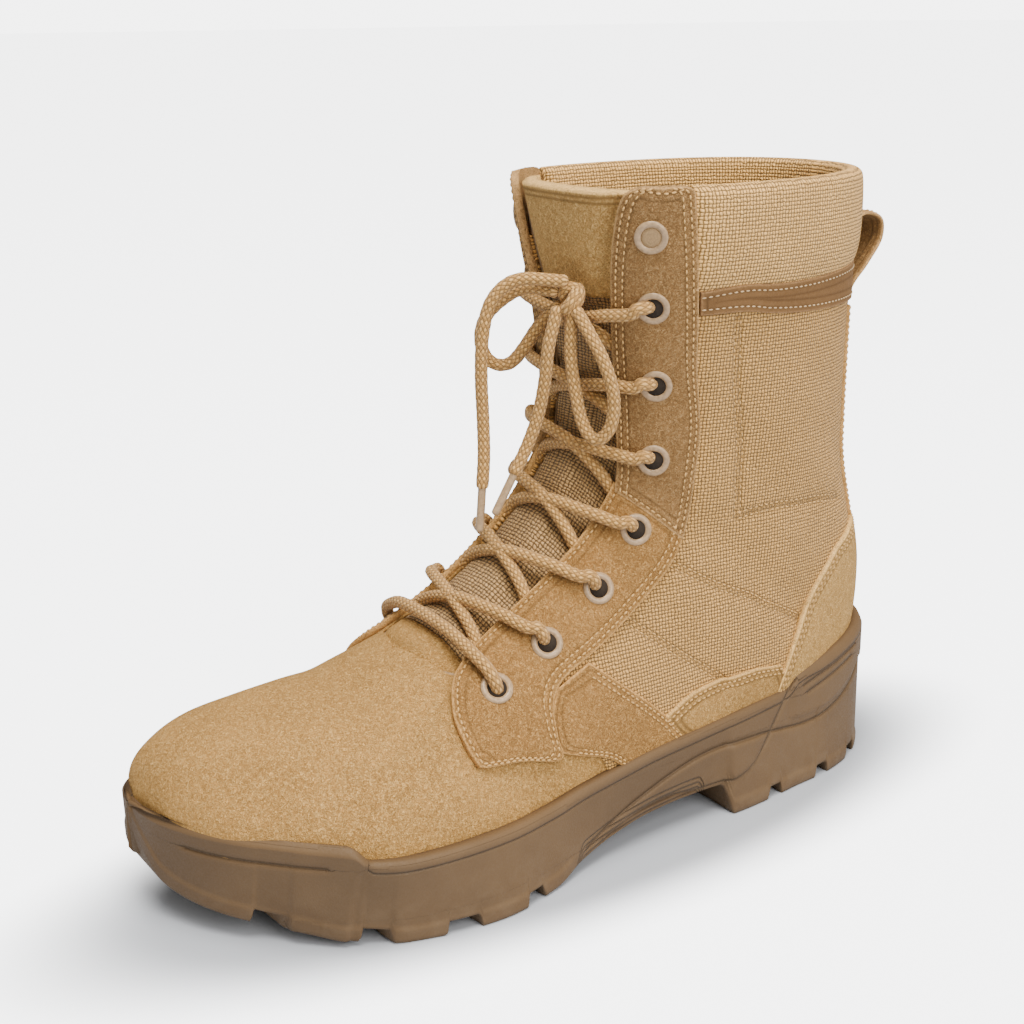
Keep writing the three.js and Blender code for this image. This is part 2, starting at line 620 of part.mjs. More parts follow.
/** Lace from under one facing, over the other facing's edge and down at its next eyelet. */
function crossingStrand(side, row) {
  const from = EYELET_STATIONS[row];
  const step = EYELET_STATIONS[row + 1] - from;
  const at = (share) => from + share * step;
  const under = throatAngle(-side, at(0.3));
  const over = throatAngle(side, at(0.74));
  const eyelet = sideAngle(side, at(1), EYELET_ANGLE);
  const top = EYELET_SEAT + LACE_RADIUS;
  const points = [
    overForm(at(0.3), under * 0.72, 0.4),
    overForm(at(0.5), (under + over) * 0.5, top * 0.62),
    overForm(at(0.74), over, top + 2.5 * GAP),
    overForm(at(0.9), THREE.MathUtils.lerp(over, eyelet, 0.6), top + 5 * GAP),
    overForm(at(0.985), THREE.MathUtils.lerp(over, eyelet, 0.84), top + EYELET_HEIGHT + 4.6 * GAP),
    overForm(at(1), eyelet, top + EYELET_HEIGHT + 3 * GAP),
  ];
  return solidFrom(bar(points, LACE_RADIUS, HOLE_SIDES, 6));
}

/** Bottom bar of lace, straight across between the two lowest eyelets. */
function laceBar() {
  const s = EYELET_STATIONS[0];
  const top = EYELET_SEAT + LACE_RADIUS;
  const half = (side) => {
    const eyelet = sideAngle(side, s, EYELET_ANGLE);
    const edge = throatAngle(side, s);
    return [
      overForm(s, eyelet, top + EYELET_HEIGHT + GAP),
      overForm(s, THREE.MathUtils.lerp(eyelet, edge, 0.2), top + EYELET_HEIGHT + 3 * GAP),
      overForm(s, THREE.MathUtils.lerp(eyelet, edge, 0.75), top + 3 * GAP),
      overForm(s, edge * 0.6, top + GAP),
    ];
  };
  return bar([...half(1), ...half(-1).reverse()], LACE_RADIUS, ROUND_SIDES, 12);
}

/** Knot with the two strands that reach it from under the facings. */
function laceKnot() {
  const [x, y, z] = KNOT;
  const lump = new THREE.SphereGeometry(KNOT_RADIUS, 10, 6);
  lump.scale(1.35, 0.95, 1.05);
  lump.translate(x, y, z);
  let knot = solidFrom(lump);
  for (const side of [1, -1]) {
    const s = 0.899;
    const edge = throatAngle(side, s);
    const strand = bar([overForm(s, edge * 0.72, 0.4), overForm(s - 0.004, edge * 0.45, 2.6),
      [x + side * 2, y + 0.8, z]], LACE_RADIUS, ROUND_SIDES, 4);
    knot = knot.add(solidFrom(strand));
  }
  return knot;
}

/** Straight tip that carries on from the end of a route. */
function aglet(route) {
  const end = new THREE.Vector3(...route[route.length - 1]);
  const direction = end.clone().sub(new THREE.Vector3(...route[route.length - 2])).normalize();
  const tip = new THREE.CylinderGeometry(AGLET_RADIUS, AGLET_RADIUS, AGLET_LENGTH, 8);
  tip.applyQuaternion(new THREE.Quaternion().setFromUnitVectors(new THREE.Vector3(0, 1, 0), direction));
  tip.translate(...end.addScaledVector(direction, AGLET_LENGTH / 2 + 2 * GAP).toArray());
  return tip;
}

/** Leather loop at the back, an open ribbon bent in the plane x = 0. */
function pullLoop() {
  const back = overForm(0.972, Math.PI, COLLAR_PADDING + 2 * GAP);
  const low = overForm(0.915, Math.PI, SUEDE + 3 * GAP);
  const route = new THREE.CatmullRomCurve3([
    new THREE.Vector3(0, back.y + LOOP_THICKNESS / 2, back.z),
    new THREE.Vector3(0, back.y + 7, back.z + 1.5),
    new THREE.Vector3(0, back.y + 12.5, back.z - 2.5),
    new THREE.Vector3(0, back.y + 11.5, back.z - 9),
    new THREE.Vector3(0, back.y + 6, back.z - 17),
    new THREE.Vector3(0, back.y + 2.2, back.z - 27),
    new THREE.Vector3(0, low.y + LOOP_THICKNESS / 2, low.z - 4),
  ]).getPoints(14);
  const side = (sign) => route.map((point, i) => {
    const before = route[Math.max(i - 1, 0)];
    const after = route[Math.min(i + 1, route.length - 1)];
    const along = after.clone().sub(before).normalize();
    return new THREE.Vector2(point.y - (sign * along.z * LOOP_THICKNESS) / 2,
      point.z + (sign * along.y * LOOP_THICKNESS) / 2);
  });
  const ribbon = new THREE.ExtrudeGeometry(new THREE.Shape([...side(1), ...side(-1).reverse()]),
    { depth: LOOP_WIDTH, bevelEnabled: false });
  ribbon.translate(0, 0, -LOOP_WIDTH / 2);
  ribbon.applyMatrix4(new THREE.Matrix4().makeBasis(new THREE.Vector3(0, 1, 0), new THREE.Vector3(0, 0, 1),
    new THREE.Vector3(1, 0, 0)));
  return ribbon;
}

const MATERIALS = {
  suede: { color: 0xb08c5c, roughness: 0.95, metalness: 0 },
  canvas: { color: 0xb7976a, roughness: 0.9, metalness: 0 },
  rubber: { color: 0x8b6c4d, roughness: 0.7, metalness: 0 },
  lining: { color: 0x9a7c55, roughness: 0.95, metalness: 0 },
  eyelet: { color: 0xc0a37c, roughness: 0.35, metalness: 0.3 },
  lace: { color: 0xc19a63, roughness: 0.85, metalness: 0 },
};

const boot = new THREE.Group();

/** Adds a named mesh with a material of its own. */
function addPart(name, shape, material, place) {
  const geometry = shape.isBufferGeometry ? shape : geometryFrom(shape);
  const mesh = new THREE.Mesh(geometry, new THREE.MeshStandardMaterial(MATERIALS[material]));
  mesh.name = name;
  if (place) {
    mesh.position.copy(place.position);
    mesh.quaternion.copy(place.turn);
  }
  boot.add(mesh);
}

const REACH = 9;
const outer = formSolid(0);
const inner = formSolid(-WALL, 1.03);
const overUpper = formSolid(GAP, 1.03);
const suedeShell = formSolid(GAP + SUEDE, 1.03).subtract(overUpper);
const belowRim = levelSlab(() => -SHAFT_HEIGHT, (y) => rimHeight(y) + GAP);
const sideName = (side) => (side > 0 ? 'lateral' : 'medial');

/** The part of a shell between two edges over the form. */
function sheet(shell, edgeA, edgeB, along, across = 1) {
  return shell.intersect(patchBlock(edgeA, edgeB, -REACH / 2, REACH, along, across));
}

/** A suede panel on one side, from its outline on the lateral side. */
function panel(edges, side, along, across = 1) {
  const put = (points) => points.map(([s, degrees]) => [s, sideAngle(side, s, degrees)]);
  return sheet(suedeShell, put(edges.inner), put(edges.outer), along, across);
}

/** Edge that runs around the back from one side to the other, through a last point on the back line. */
function aroundBack(points) {
  const lateral = points.map(([s, degrees]) => [s, rad(degrees)]);
  const medial = points.slice(0, -1).reverse().map(([s, degrees]) => [s, rad(360 - degrees)]);
  return [...lateral, ...medial];
}

// Upper: the form's wall, open at throat and collar and under the foot.
const throatStations = [THROAT_START, 0.49, 0.55, 0.61, 0.67, 0.73, 0.8, 0.88, 0.94, 1.0, 1.06];
const throatBlock = patchBlock(throatStations.map((s) => [s, throatAngle(1, s)]),
  throatStations.map((s) => [s, throatAngle(-1, s)]), -REACH, REACH, 20, 2);
const belowSeat = levelSlab(() => -SHAFT_HEIGHT, (y) => seatHeight(y) + GAP);
let upper = outer.subtract(inner).subtract(throatBlock).subtract(belowSeat);
const holes = [];
for (const side of [1, -1]) {
  for (const station of EYELET_STATIONS) holes.push(eyeletHole(side, station));
}
for (const hole of holes) upper = upper.subtract(hole);
addPart('upper', upper, 'canvas');

addPart('outsole', makeOutsole(overUpper), 'rubber');

const footbed = levelSlab((y) => seatHeight(y) + GAP, (y) => seatHeight(y) + GAP + INSOLE_THICKNESS);
addPart('insole', formSolid(-WALL - GAP).intersect(footbed), 'lining');

const tongueBlock = patchBlock([[TONGUE_START, rad(TONGUE_SPREAD)], [0.6, rad(TONGUE_SPREAD)],
  [0.8, rad(TONGUE_SPREAD)], [0.996, rad(TONGUE_SPREAD - 6)]],
[[TONGUE_START, -rad(TONGUE_SPREAD)], [0.6, -rad(TONGUE_SPREAD)], [0.8, -rad(TONGUE_SPREAD)],
  [0.996, -rad(TONGUE_SPREAD - 6)]], -3 * REACH / 2, REACH, 12, 6);
const tongueShell = formSolid(-WALL - GAP).subtract(formSolid(-WALL - GAP - TONGUE_THICKNESS, 1.03));
addPart('tongue', tongueShell.intersect(tongueBlock), 'suede');

for (const side of [1, -1]) {
  let upperStay = panel(UPPER_EYESTAY, side, 12);
  let lowerStay = panel(LOWER_EYESTAY, side, 15);
  for (const hole of holes) {
    upperStay = upperStay.subtract(hole);
    lowerStay = lowerStay.subtract(hole);
  }
  addPart(`eyestay_upper_${sideName(side)}`, upperStay, 'suede');
  addPart(`eyestay_lower_${sideName(side)}`, lowerStay, 'suede');
  addPart(`side_panel_${sideName(side)}`, panel(SIDE_PANEL, side, 7).subtract(belowRim), 'suede');
  addPart(`foxing_${sideName(side)}`, panel(FOXING, side, 5).subtract(belowRim), 'suede');
}

const counterLow = aroundBack([...COUNTER.inner, COUNTER.innerBack]);
const counterHigh = aroundBack([...COUNTER.outer, COUNTER.outerBack]);
addPart('heel_counter', sheet(suedeShell, counterLow, counterHigh, 18, 2).subtract(belowRim), 'suede');

const { start, end, spread } = BACKSTAY;
const backstayEdges = [180 - spread, 180 + spread].map((degrees) => (
  [[start, rad(degrees)], [(start + end) / 2, rad(degrees)], [end, rad(degrees)]]));
addPart('backstay', sheet(suedeShell, ...backstayEdges, 6, 2), 'suede');

const tapeTable = monotoneTable(TAPE_PATH.map(([s, degrees]) => [degrees, s]));
const facetAngles = Array.from({ length: AROUND }, (_, i) => (360 / AROUND) * i);
const tapeFront = TAPE_PATH[0][1];
const tapeAngles = [tapeFront, ...facetAngles.filter((angle) => angle > tapeFront + 3 && angle <= 180)];
const tapeLow = aroundBack(tapeAngles.map((angle) => [tapeTable(angle, 1), angle]));
const tapeHigh = tapeLow.map(([s, a]) => [s + TAPE_WIDTH - 2 * TAPE_GAP, a]);
addPart('collar_tape', patchBlock(tapeLow, tapeHigh, GAP, GAP + SUEDE, tapeLow.length - 1, 1), 'suede');
const padLow = tapeLow.map(([s, a]) => [s + TAPE_WIDTH, a]);
const padHigh = tapeLow.map(([, a]) => [1, a]);
const padTop = GAP + COLLAR_PADDING;
addPart('collar_pad', patchBlock(padLow, padHigh, GAP, padTop, tapeLow.length - 1, 2), 'canvas');
addPart('pull_loop', pullLoop(), 'suede');

for (const side of [1, -1]) {
  EYELET_STATIONS.forEach((station, i) => {
    addPart(`eyelet_${sideName(side)}_${i + 1}`, eyeletGeometry(), 'eyelet',
      eyeletPlace(side, station, EYELET_SEAT));
  });
  addPart(`stud_${sideName(side)}`, studGeometry(), 'eyelet', eyeletPlace(side, STUD_STATION, STUD_SEAT));
}

addPart('lace_bar', laceBar(), 'lace');
for (let row = 0; row < EYELET_STATIONS.length - 1; row += 1) {
  addPart(`lace_cross_${row + 1}`, crossingStrand(1, row).add(crossingStrand(-1, row)), 'lace');
}
addPart('lace_knot', laceKnot(), 'lace');
addPart('lace_loop_outer', bar(LOOP_OUTER_ROUTE, LACE_RADIUS, ROUND_SIDES, 17), 'lace');
addPart('lace_loop_inner', bar(LOOP_INNER_ROUTE, LACE_RADIUS, ROUND_SIDES, 20), 'lace');
addPart('lace_end_outer', bar(END_OUTER_ROUTE, LACE_RADIUS, ROUND_SIDES, 14), 'lace');
addPart('lace_end_inner', bar(END_INNER_ROUTE, LACE_RADIUS, ROUND_SIDES, 12), 'lace');
addPart('aglet_outer', aglet(END_OUTER_ROUTE), 'eyelet');
addPart('aglet_inner', aglet(END_INNER_ROUTE), 'eyelet');

// The frame's origin is under the middle of the boot, on the ground, without the lace's free ends.
const FREE_LACE = ['lace_knot', 'lace_loop_outer', 'lace_loop_inner', 'lace_end_outer', 'lace_end_inner',
  'aglet_outer', 'aglet_inner'];
const extent = new THREE.Box3();
for (const mesh of boot.children) {
  if (!FREE_LACE.includes(mesh.name)) extent.expandByObject(mesh, true);
}
const middle = extent.getCenter(new THREE.Vector3()).setZ(extent.min.z);
for (const mesh of boot.children) mesh.position.sub(middle);

export default boot;
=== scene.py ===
"""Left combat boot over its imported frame: suede and canvas upper, lacing, padded collar, moulded sole.

Lengths in this file are millimetres in the last's own frame, in which the toe points towards -Y, the outer
side of the foot towards +X and the ground is z = 0. to_frame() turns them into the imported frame's metres.
"""

import logging
import math
from dataclasses import dataclass, field
from enum import Enum

import bmesh
import bpy
import numpy as np
from mathutils import Matrix


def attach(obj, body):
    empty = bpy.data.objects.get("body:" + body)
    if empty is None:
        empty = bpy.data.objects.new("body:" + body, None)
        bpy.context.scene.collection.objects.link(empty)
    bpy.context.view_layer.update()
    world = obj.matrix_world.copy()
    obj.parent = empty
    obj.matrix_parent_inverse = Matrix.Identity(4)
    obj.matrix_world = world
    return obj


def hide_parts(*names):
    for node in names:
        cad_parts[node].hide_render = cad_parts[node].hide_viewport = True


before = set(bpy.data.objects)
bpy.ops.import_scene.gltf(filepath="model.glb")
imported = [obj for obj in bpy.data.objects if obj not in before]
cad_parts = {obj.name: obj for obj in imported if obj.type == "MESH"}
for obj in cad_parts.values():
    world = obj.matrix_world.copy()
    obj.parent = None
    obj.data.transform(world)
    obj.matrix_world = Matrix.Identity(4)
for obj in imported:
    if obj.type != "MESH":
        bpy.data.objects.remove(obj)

Array = np.ndarray
Rows = list[tuple[float, ...]]
Colour = tuple[float, float, float]
Material = bpy.types.Material
LOG = logging.getLogger("boot")

MM = 0.001
# Where the last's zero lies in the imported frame, in millimetres.
FORM_ZERO = np.array([-1.881, 2.317, 0.0])

# Driving dimensions, as in the part's source.
FOOT_LENGTH = 300.0
BALL_WIDTH = 104.0
INSTEP_HEIGHT = 129.0
HEEL_SEAT = 28.0
SHAFT_HEIGHT = 237.0
SHAFT_WIDTH = 97.0
WALL = 2.4
SUEDE = 1.6
GAP = 0.3
RAND = 4.5
LUG_DEPTH = 5.0
SOLE_LENGTH = FOOT_LENGTH + 2 * RAND
SOLE_WIDTH = BALL_WIDTH + 2 * RAND
LACE_RADIUS = 2.3
AGLET_RADIUS = 1.5
AGLET_LENGTH = 16.0
TOP = GAP + SUEDE
# Distance that stands for no cut edge or seam nearby, and the furthest that the sole's lines are told.
FAR = 99.0
LINE_REACH = 20.0
# Half the distance between the two rows of a canvas seam.
SEAM_HALF = 1.2

# Columns: ridge y and z, keel y and z, ridge x, keel x, lateral and medial half width, place of the widest
# line, roundness above and below it. Shares of the driving dimensions, from the toe tip to the instep.
FOOT_SECTIONS: Rows = [
    (-0.503, 0.295, -0.503, 0.93, -0.25, -0.25, 0.0, 0.0, 0.55, 2.3, 3.0),
    (-0.493, 0.388, -0.497, 0.64, -0.24, -0.24, 0.21, 0.125, 0.58, 2.3, 3.0),
    (-0.467, 0.457, -0.47, 0.54, -0.21, -0.21, 0.365, 0.21, 0.6, 2.3, 3.0),
    (-0.423, 0.496, -0.423, 0.46, -0.183, -0.163, 0.471, 0.298, 0.62, 2.3, 3.0),
    (-0.363, 0.516, -0.363, 0.39, -0.154, -0.096, 0.548, 0.365, 0.64, 2.3, 3.0),
    (-0.283, 0.539, -0.277, 0.32, -0.125, -0.048, 0.587, 0.413, 0.66, 2.3, 3.0),
    (-0.2, 0.597, -0.167, 0.32, -0.096, -0.01, 0.538, 0.423, 0.68, 2.3, 3.0),
    (-0.123, 0.698, -0.04, 0.36, -0.077, 0.0, 0.471, 0.404, 0.7, 2.3, 3.0),
    (-0.05, 0.837, 0.12, 0.43, -0.058, 0.0, 0.423, 0.365, 0.7, 2.4, 3.0),
    (0.013, 1.0, 0.313, 0.46, -0.048, 0.0, 0.385, 0.356, 0.62, 2.5, 2.6),
]
# The same columns for the shaft: x and widths are shares of its width, z of the rise to the collar.
SHAFT_SECTIONS: Rows = [
    (0.047, 0.194, 0.46, 0.0, -0.041, 0.0, 0.402, 0.392, 0.5, 2.6, 2.2),
    (0.053, 0.389, 0.49, 0.22, -0.031, 0.0, 0.412, 0.412, 0.46, 2.8, 2.2),
    (0.047, 0.602, 0.447, 0.488, -0.021, 0.0, 0.433, 0.443, 0.44, 2.8, 2.2),
    (0.033, 0.806, 0.443, 0.751, -0.01, 0.0, 0.464, 0.485, 0.44, 2.8, 2.2),
    (0.02, 1.0, 0.443, 1.0, 0.0, 0.0, 0.485, 0.515, 0.44, 2.8, 2.2),
]
# Columns: station, angle of the lateral and of the medial throat edge in degrees from the ridge.
THROAT: Rows = [
    (0.44, 31, 25), (0.49, 26, 21), (0.55, 26.5, 18), (0.61, 28.5, 15), (0.67, 31, 12.5),
    (0.73, 28, 12.5), (0.8, 24, 14), (0.88, 24, 18.5), (0.94, 26.5, 25), (1.0, 33, 33),
]
THROAT_START = 0.447
# Stations between which the two halves part at the throat's lower end.
THROAT_OPENS = (0.432, 0.452)
TONGUE_START = 0.405
TONGUE_SPREAD = 58.0
TONGUE_THICKNESS = 3.0
EYELET_STATIONS = (0.475, 0.536, 0.599, 0.661, 0.735, 0.811, 0.888)
STUD_STATION = 0.959
EYELET_ANGLE = 46.0
EYELET_SEAT = TOP + 0.85
# Columns: y share of the foot length, z share of the heel seat on which upper and insole stand.
SEAT: Rows = [
    (-0.53, 0.72), (-0.467, 0.7), (-0.4, 0.61), (-0.333, 0.54), (-0.25, 0.48), (-0.15, 0.48), (-0.05, 0.54),
    (0.067, 0.64), (0.2, 0.75), (0.333, 0.86), (0.55, 0.93),
]
# Columns: y share of the sole length, medial and lateral half width, flare of the tread edge, underside and
# rim heights as shares of the heel seat.
SOLE_SECTIONS: Rows = [
    (-0.505, -0.221, -0.221, 0.0, 1.05, 1.3), (-0.502, -0.3, -0.106, -0.01, 0.78, 1.33),
    (-0.495, -0.345, -0.026, -0.03, 0.54, 1.35), (-0.482, -0.385, 0.071, -0.045, 0.42, 1.37),
    (-0.463, -0.42, 0.164, -0.05, 0.34, 1.38), (-0.427, -0.458, 0.283, -0.054, 0.25, 1.37),
    (-0.385, -0.48, 0.389, -0.054, 0.16, 1.35), (-0.353, -0.489, 0.453, -0.052, 0.08, 1.32),
    (-0.331, -0.491, 0.483, -0.048, 0.05, 1.12), (-0.291, -0.491, 0.513, -0.036, 0.0, 1.09),
    (-0.233, -0.476, 0.522, -0.008, 0.0, 1.08), (-0.168, -0.45, 0.509, 0.012, 0.0, 1.07),
    (-0.1, -0.428, 0.473, 0.0, 0.02, 1.09), (-0.055, -0.412, 0.45, -0.015, 0.16, 1.15),
    (0.0, -0.403, 0.434, -0.03, 0.3, 1.22), (0.06, -0.392, 0.42, -0.035, 0.4, 1.3),
    (0.12, -0.382, 0.405, -0.03, 0.43, 1.34), (0.175, -0.376, 0.392, -0.018, 0.43, 1.38),
    (0.188, -0.374, 0.389, 0.012, 0.0, 1.39), (0.24, -0.366, 0.374, 0.016, 0.0, 1.43),
    (0.285, -0.353, 0.356, 0.016, 0.0, 1.47), (0.303, -0.346, 0.348, 0.016, 0.0, 1.64),
    (0.35, -0.327, 0.336, 0.014, 0.0, 1.73), (0.411, -0.279, 0.292, 0.01, 0.0, 1.86),
    (0.456, -0.204, 0.221, 0.004, 0.0, 1.95), (0.479, -0.124, 0.137, 0.0, 0.02, 1.99),
    (0.488, -0.044, 0.049, 0.0, 0.06, 2.0), (0.49, 0.0, 0.0, 0.0, 0.1, 2.0),
]


class Side(Enum):
    """The two sides of the foot; the value is the sign of x."""

    LATERAL = 1
    MEDIAL = -1

    @property
    def label(self) -> str:
        """The side's plain name."""
        return self.name.lower()


class SectionTable:
    """Monotone cubic interpolation through rows whose first column holds the knots."""

    def __init__(self, rows: Rows) -> None:
        """Works out the slopes.

        Args:
            rows: Knot, then values, in rising order of the knot.
        """
        table = np.array(rows, float)
        self.knots, self.values = table[:, 0], table[:, 1:]
        span = np.diff(self.knots)
        rate = np.diff(self.values, axis=0) / span[:, None]
        weight_a = 2 * span[1:] + span[:-1]
        weight_b = span[1:] + 2 * span[:-1]
        a, b = rate[:-1], rate[1:]
        same = a * b > 0
        safe_a, safe_b = np.where(same, a, 1.0), np.where(same, b, 1.0)
        total = (weight_a + weight_b)[:, None]
        mean = total / (weight_a[:, None] / safe_a + weight_b[:, None] / safe_b)
        self.slopes = np.vstack([rate[:1], np.where(same, mean, 0.0), rate[-1:]])

    def __call__(self, at: Array) -> Array:
        """Values at given knots, with one more axis than the input for the columns."""
        x = np.clip(np.asarray(at, float), self.knots[0], self.knots[-1])
        i = np.clip(np.searchsorted(self.knots, x, side="right") - 1, 0, len(self.knots) - 2)
        span = (self.knots[i + 1] - self.knots[i])[..., None]
        t = (x - self.knots[i])[..., None] / span
        low = (2 * t**3 - 3 * t**2 + 1) * self.values[i] + (t**3 - 2 * t**2 + t) * span * self.slopes[i]
        return low + (3 * t**2 - 2 * t**3) * self.values[i + 1] + (t**3 - t**2) * span * self.slopes[i + 1]


def smoothstep(low: float, high: float, value: Array) -> Array:
    """0 below low and 1 above high, with the cubic 3t^2 - 2t^3 between them."""
    t = np.clip((value - low) / (high - low), 0.0, 1.0)
    return t * t * (3 - 2 * t)


def unit(vectors: Array) -> Array:
    """Vectors divided by their length."""
    return vectors / np.maximum(np.linalg.norm(vectors, axis=-1, keepdims=True), 1e-9)


def spline(rows: Array, t: Array) -> Array:
    """Uniform Catmull-Rom curve through rows of a table, at shares t of its length in rows."""
    count = len(rows)
    place = np.clip(t, 0, 1) * (count - 1)
    i = np.minimum(place.astype(int), count - 2)
    w = (place - i)[..., None]
    p0, p1 = rows[np.maximum(i - 1, 0)], rows[i]
    p2, p3 = rows[i + 1], rows[np.minimum(i + 2, count - 1)]
    v0, v1 = (p2 - p0) * 0.5, (p3 - p1) * 0.5
    return (2 * p1 - 2 * p2 + v0 + v1) * w**3 + (-3 * p1 + 3 * p2 - 2 * v0 - v1) * w**2 + v0 * w + p1


def resample(path: Array, step: float) -> Array:
    """Points at even steps along a polyline, its two ends kept."""
    length = np.concatenate([[0], np.cumsum(np.linalg.norm(np.diff(path, axis=0), axis=1))])
    count = max(2, int(round(length[-1] / step)) + 1)
    at = np.linspace(0, length[-1], count)
    return np.stack([np.interp(at, length, path[:, k]) for k in range(path.shape[1])], -1)


def smooth_route(points: Rows, step: float) -> Array:
    """Centripetal Catmull-Rom curve through points, at even steps in millimetres."""
    p = np.array(points, float)
    p = np.vstack([2 * p[0] - p[1], p, 2 * p[-1] - p[-2]])
    knots = np.concatenate([[0], np.cumsum(np.linalg.norm(np.diff(p, axis=0), axis=1) ** 0.5)])
    pieces = []
    for i in range(1, len(p) - 2):
        t = np.linspace(knots[i], knots[i + 1], 16, endpoint=False)[:, None]
        k, q = knots[i - 1 : i + 3], p[i - 1 : i + 3]
        level = [((k[j + 1] - t) * q[j] + (t - k[j]) * q[j + 1]) / (k[j + 1] - k[j]) for j in range(3)]
        second = [
            ((k[j + 2] - t) * level[j] + (t - k[j]) * level[j + 1]) / (k[j + 2] - k[j]) for j in range(2)
        ]
        pieces.append(((k[2] - t) * second[0] + (t - k[1]) * second[1]) / (k[2] - k[1]))
    return resample(np.vstack([*pieces, p[-2:-1]]), step)


def relaxed(path: Array, reach: int) -> Array:
    """A path whose corners are rounded by a running mean over its neighbours, its ends kept."""
    weights = np.hanning(2 * reach + 3)[1:-1]
    before, after = 2 * path[0] - path[reach:0:-1], 2 * path[-1] - path[-2 : -reach - 2 : -1]
    long = np.vstack([before, path, after])
    columns = [np.convolve(long[:, k], weights / weights.sum(), mode="valid") for k in range(3)]
    return np.stack(columns, -1)


def polyline_distance(points: Array, line: Array) -> Array:
    """Least distance from each point to a polyline, segment by segment.

    Args:
        points: Points, in any shape whose last axis is the coordinates.
        line: The polyline's points.

    Returns:
        Distances in the shape of points without its last axis.
    """
    flat = points.reshape(-1, points.shape[-1])
    best = np.full(len(flat), np.inf)
    for a, b in zip(line[:-1], line[1:]):
        along = b - a
        t = np.clip((flat - a) @ along / max(float(along @ along), 1e-9), 0, 1)
        best = np.minimum(best, np.linalg.norm(flat - a - t[:, None] * along, axis=1))
    return best.reshape(points.shape[:-1])


@dataclass(frozen=True)
class Fold:
    """A soft trough or ridge over the form, between two places given as station and angle in degrees."""

    start: tuple[float, float]
    end: tuple[float, float]
    height: float
    width: float


# Station and angle become plane millimetres for the folds by these two scales.
STATION_SCALE = 450.0
ANGLE_SCALE = 0.85

# Creases: across the vamp behind the toes, at the bend of the instep, round the ankle.
FOLDS = (
    Fold((0.365, -58), (0.385, 62), -0.7, 9.0),
    Fold((0.405, 58), (0.47, 88), -0.6, 8.0),
    Fold((0.395, 66), (0.45, 92), 0.5, 9.0),
    Fold((0.70, 50), (0.735, 118), -1.1, 10.0),
    Fold((0.66, 70), (0.69, 112), 0.9, 12.0),
    Fold((0.70, -50), (0.735, -118), -1.1, 10.0),
    Fold((0.79, 95), (0.80, 150), -0.8, 12.0),
    Fold((0.79, -95), (0.80, -150), -0.8, 12.0),
    Fold((0.58, -70), (0.64, -100), -0.7, 10.0),
)


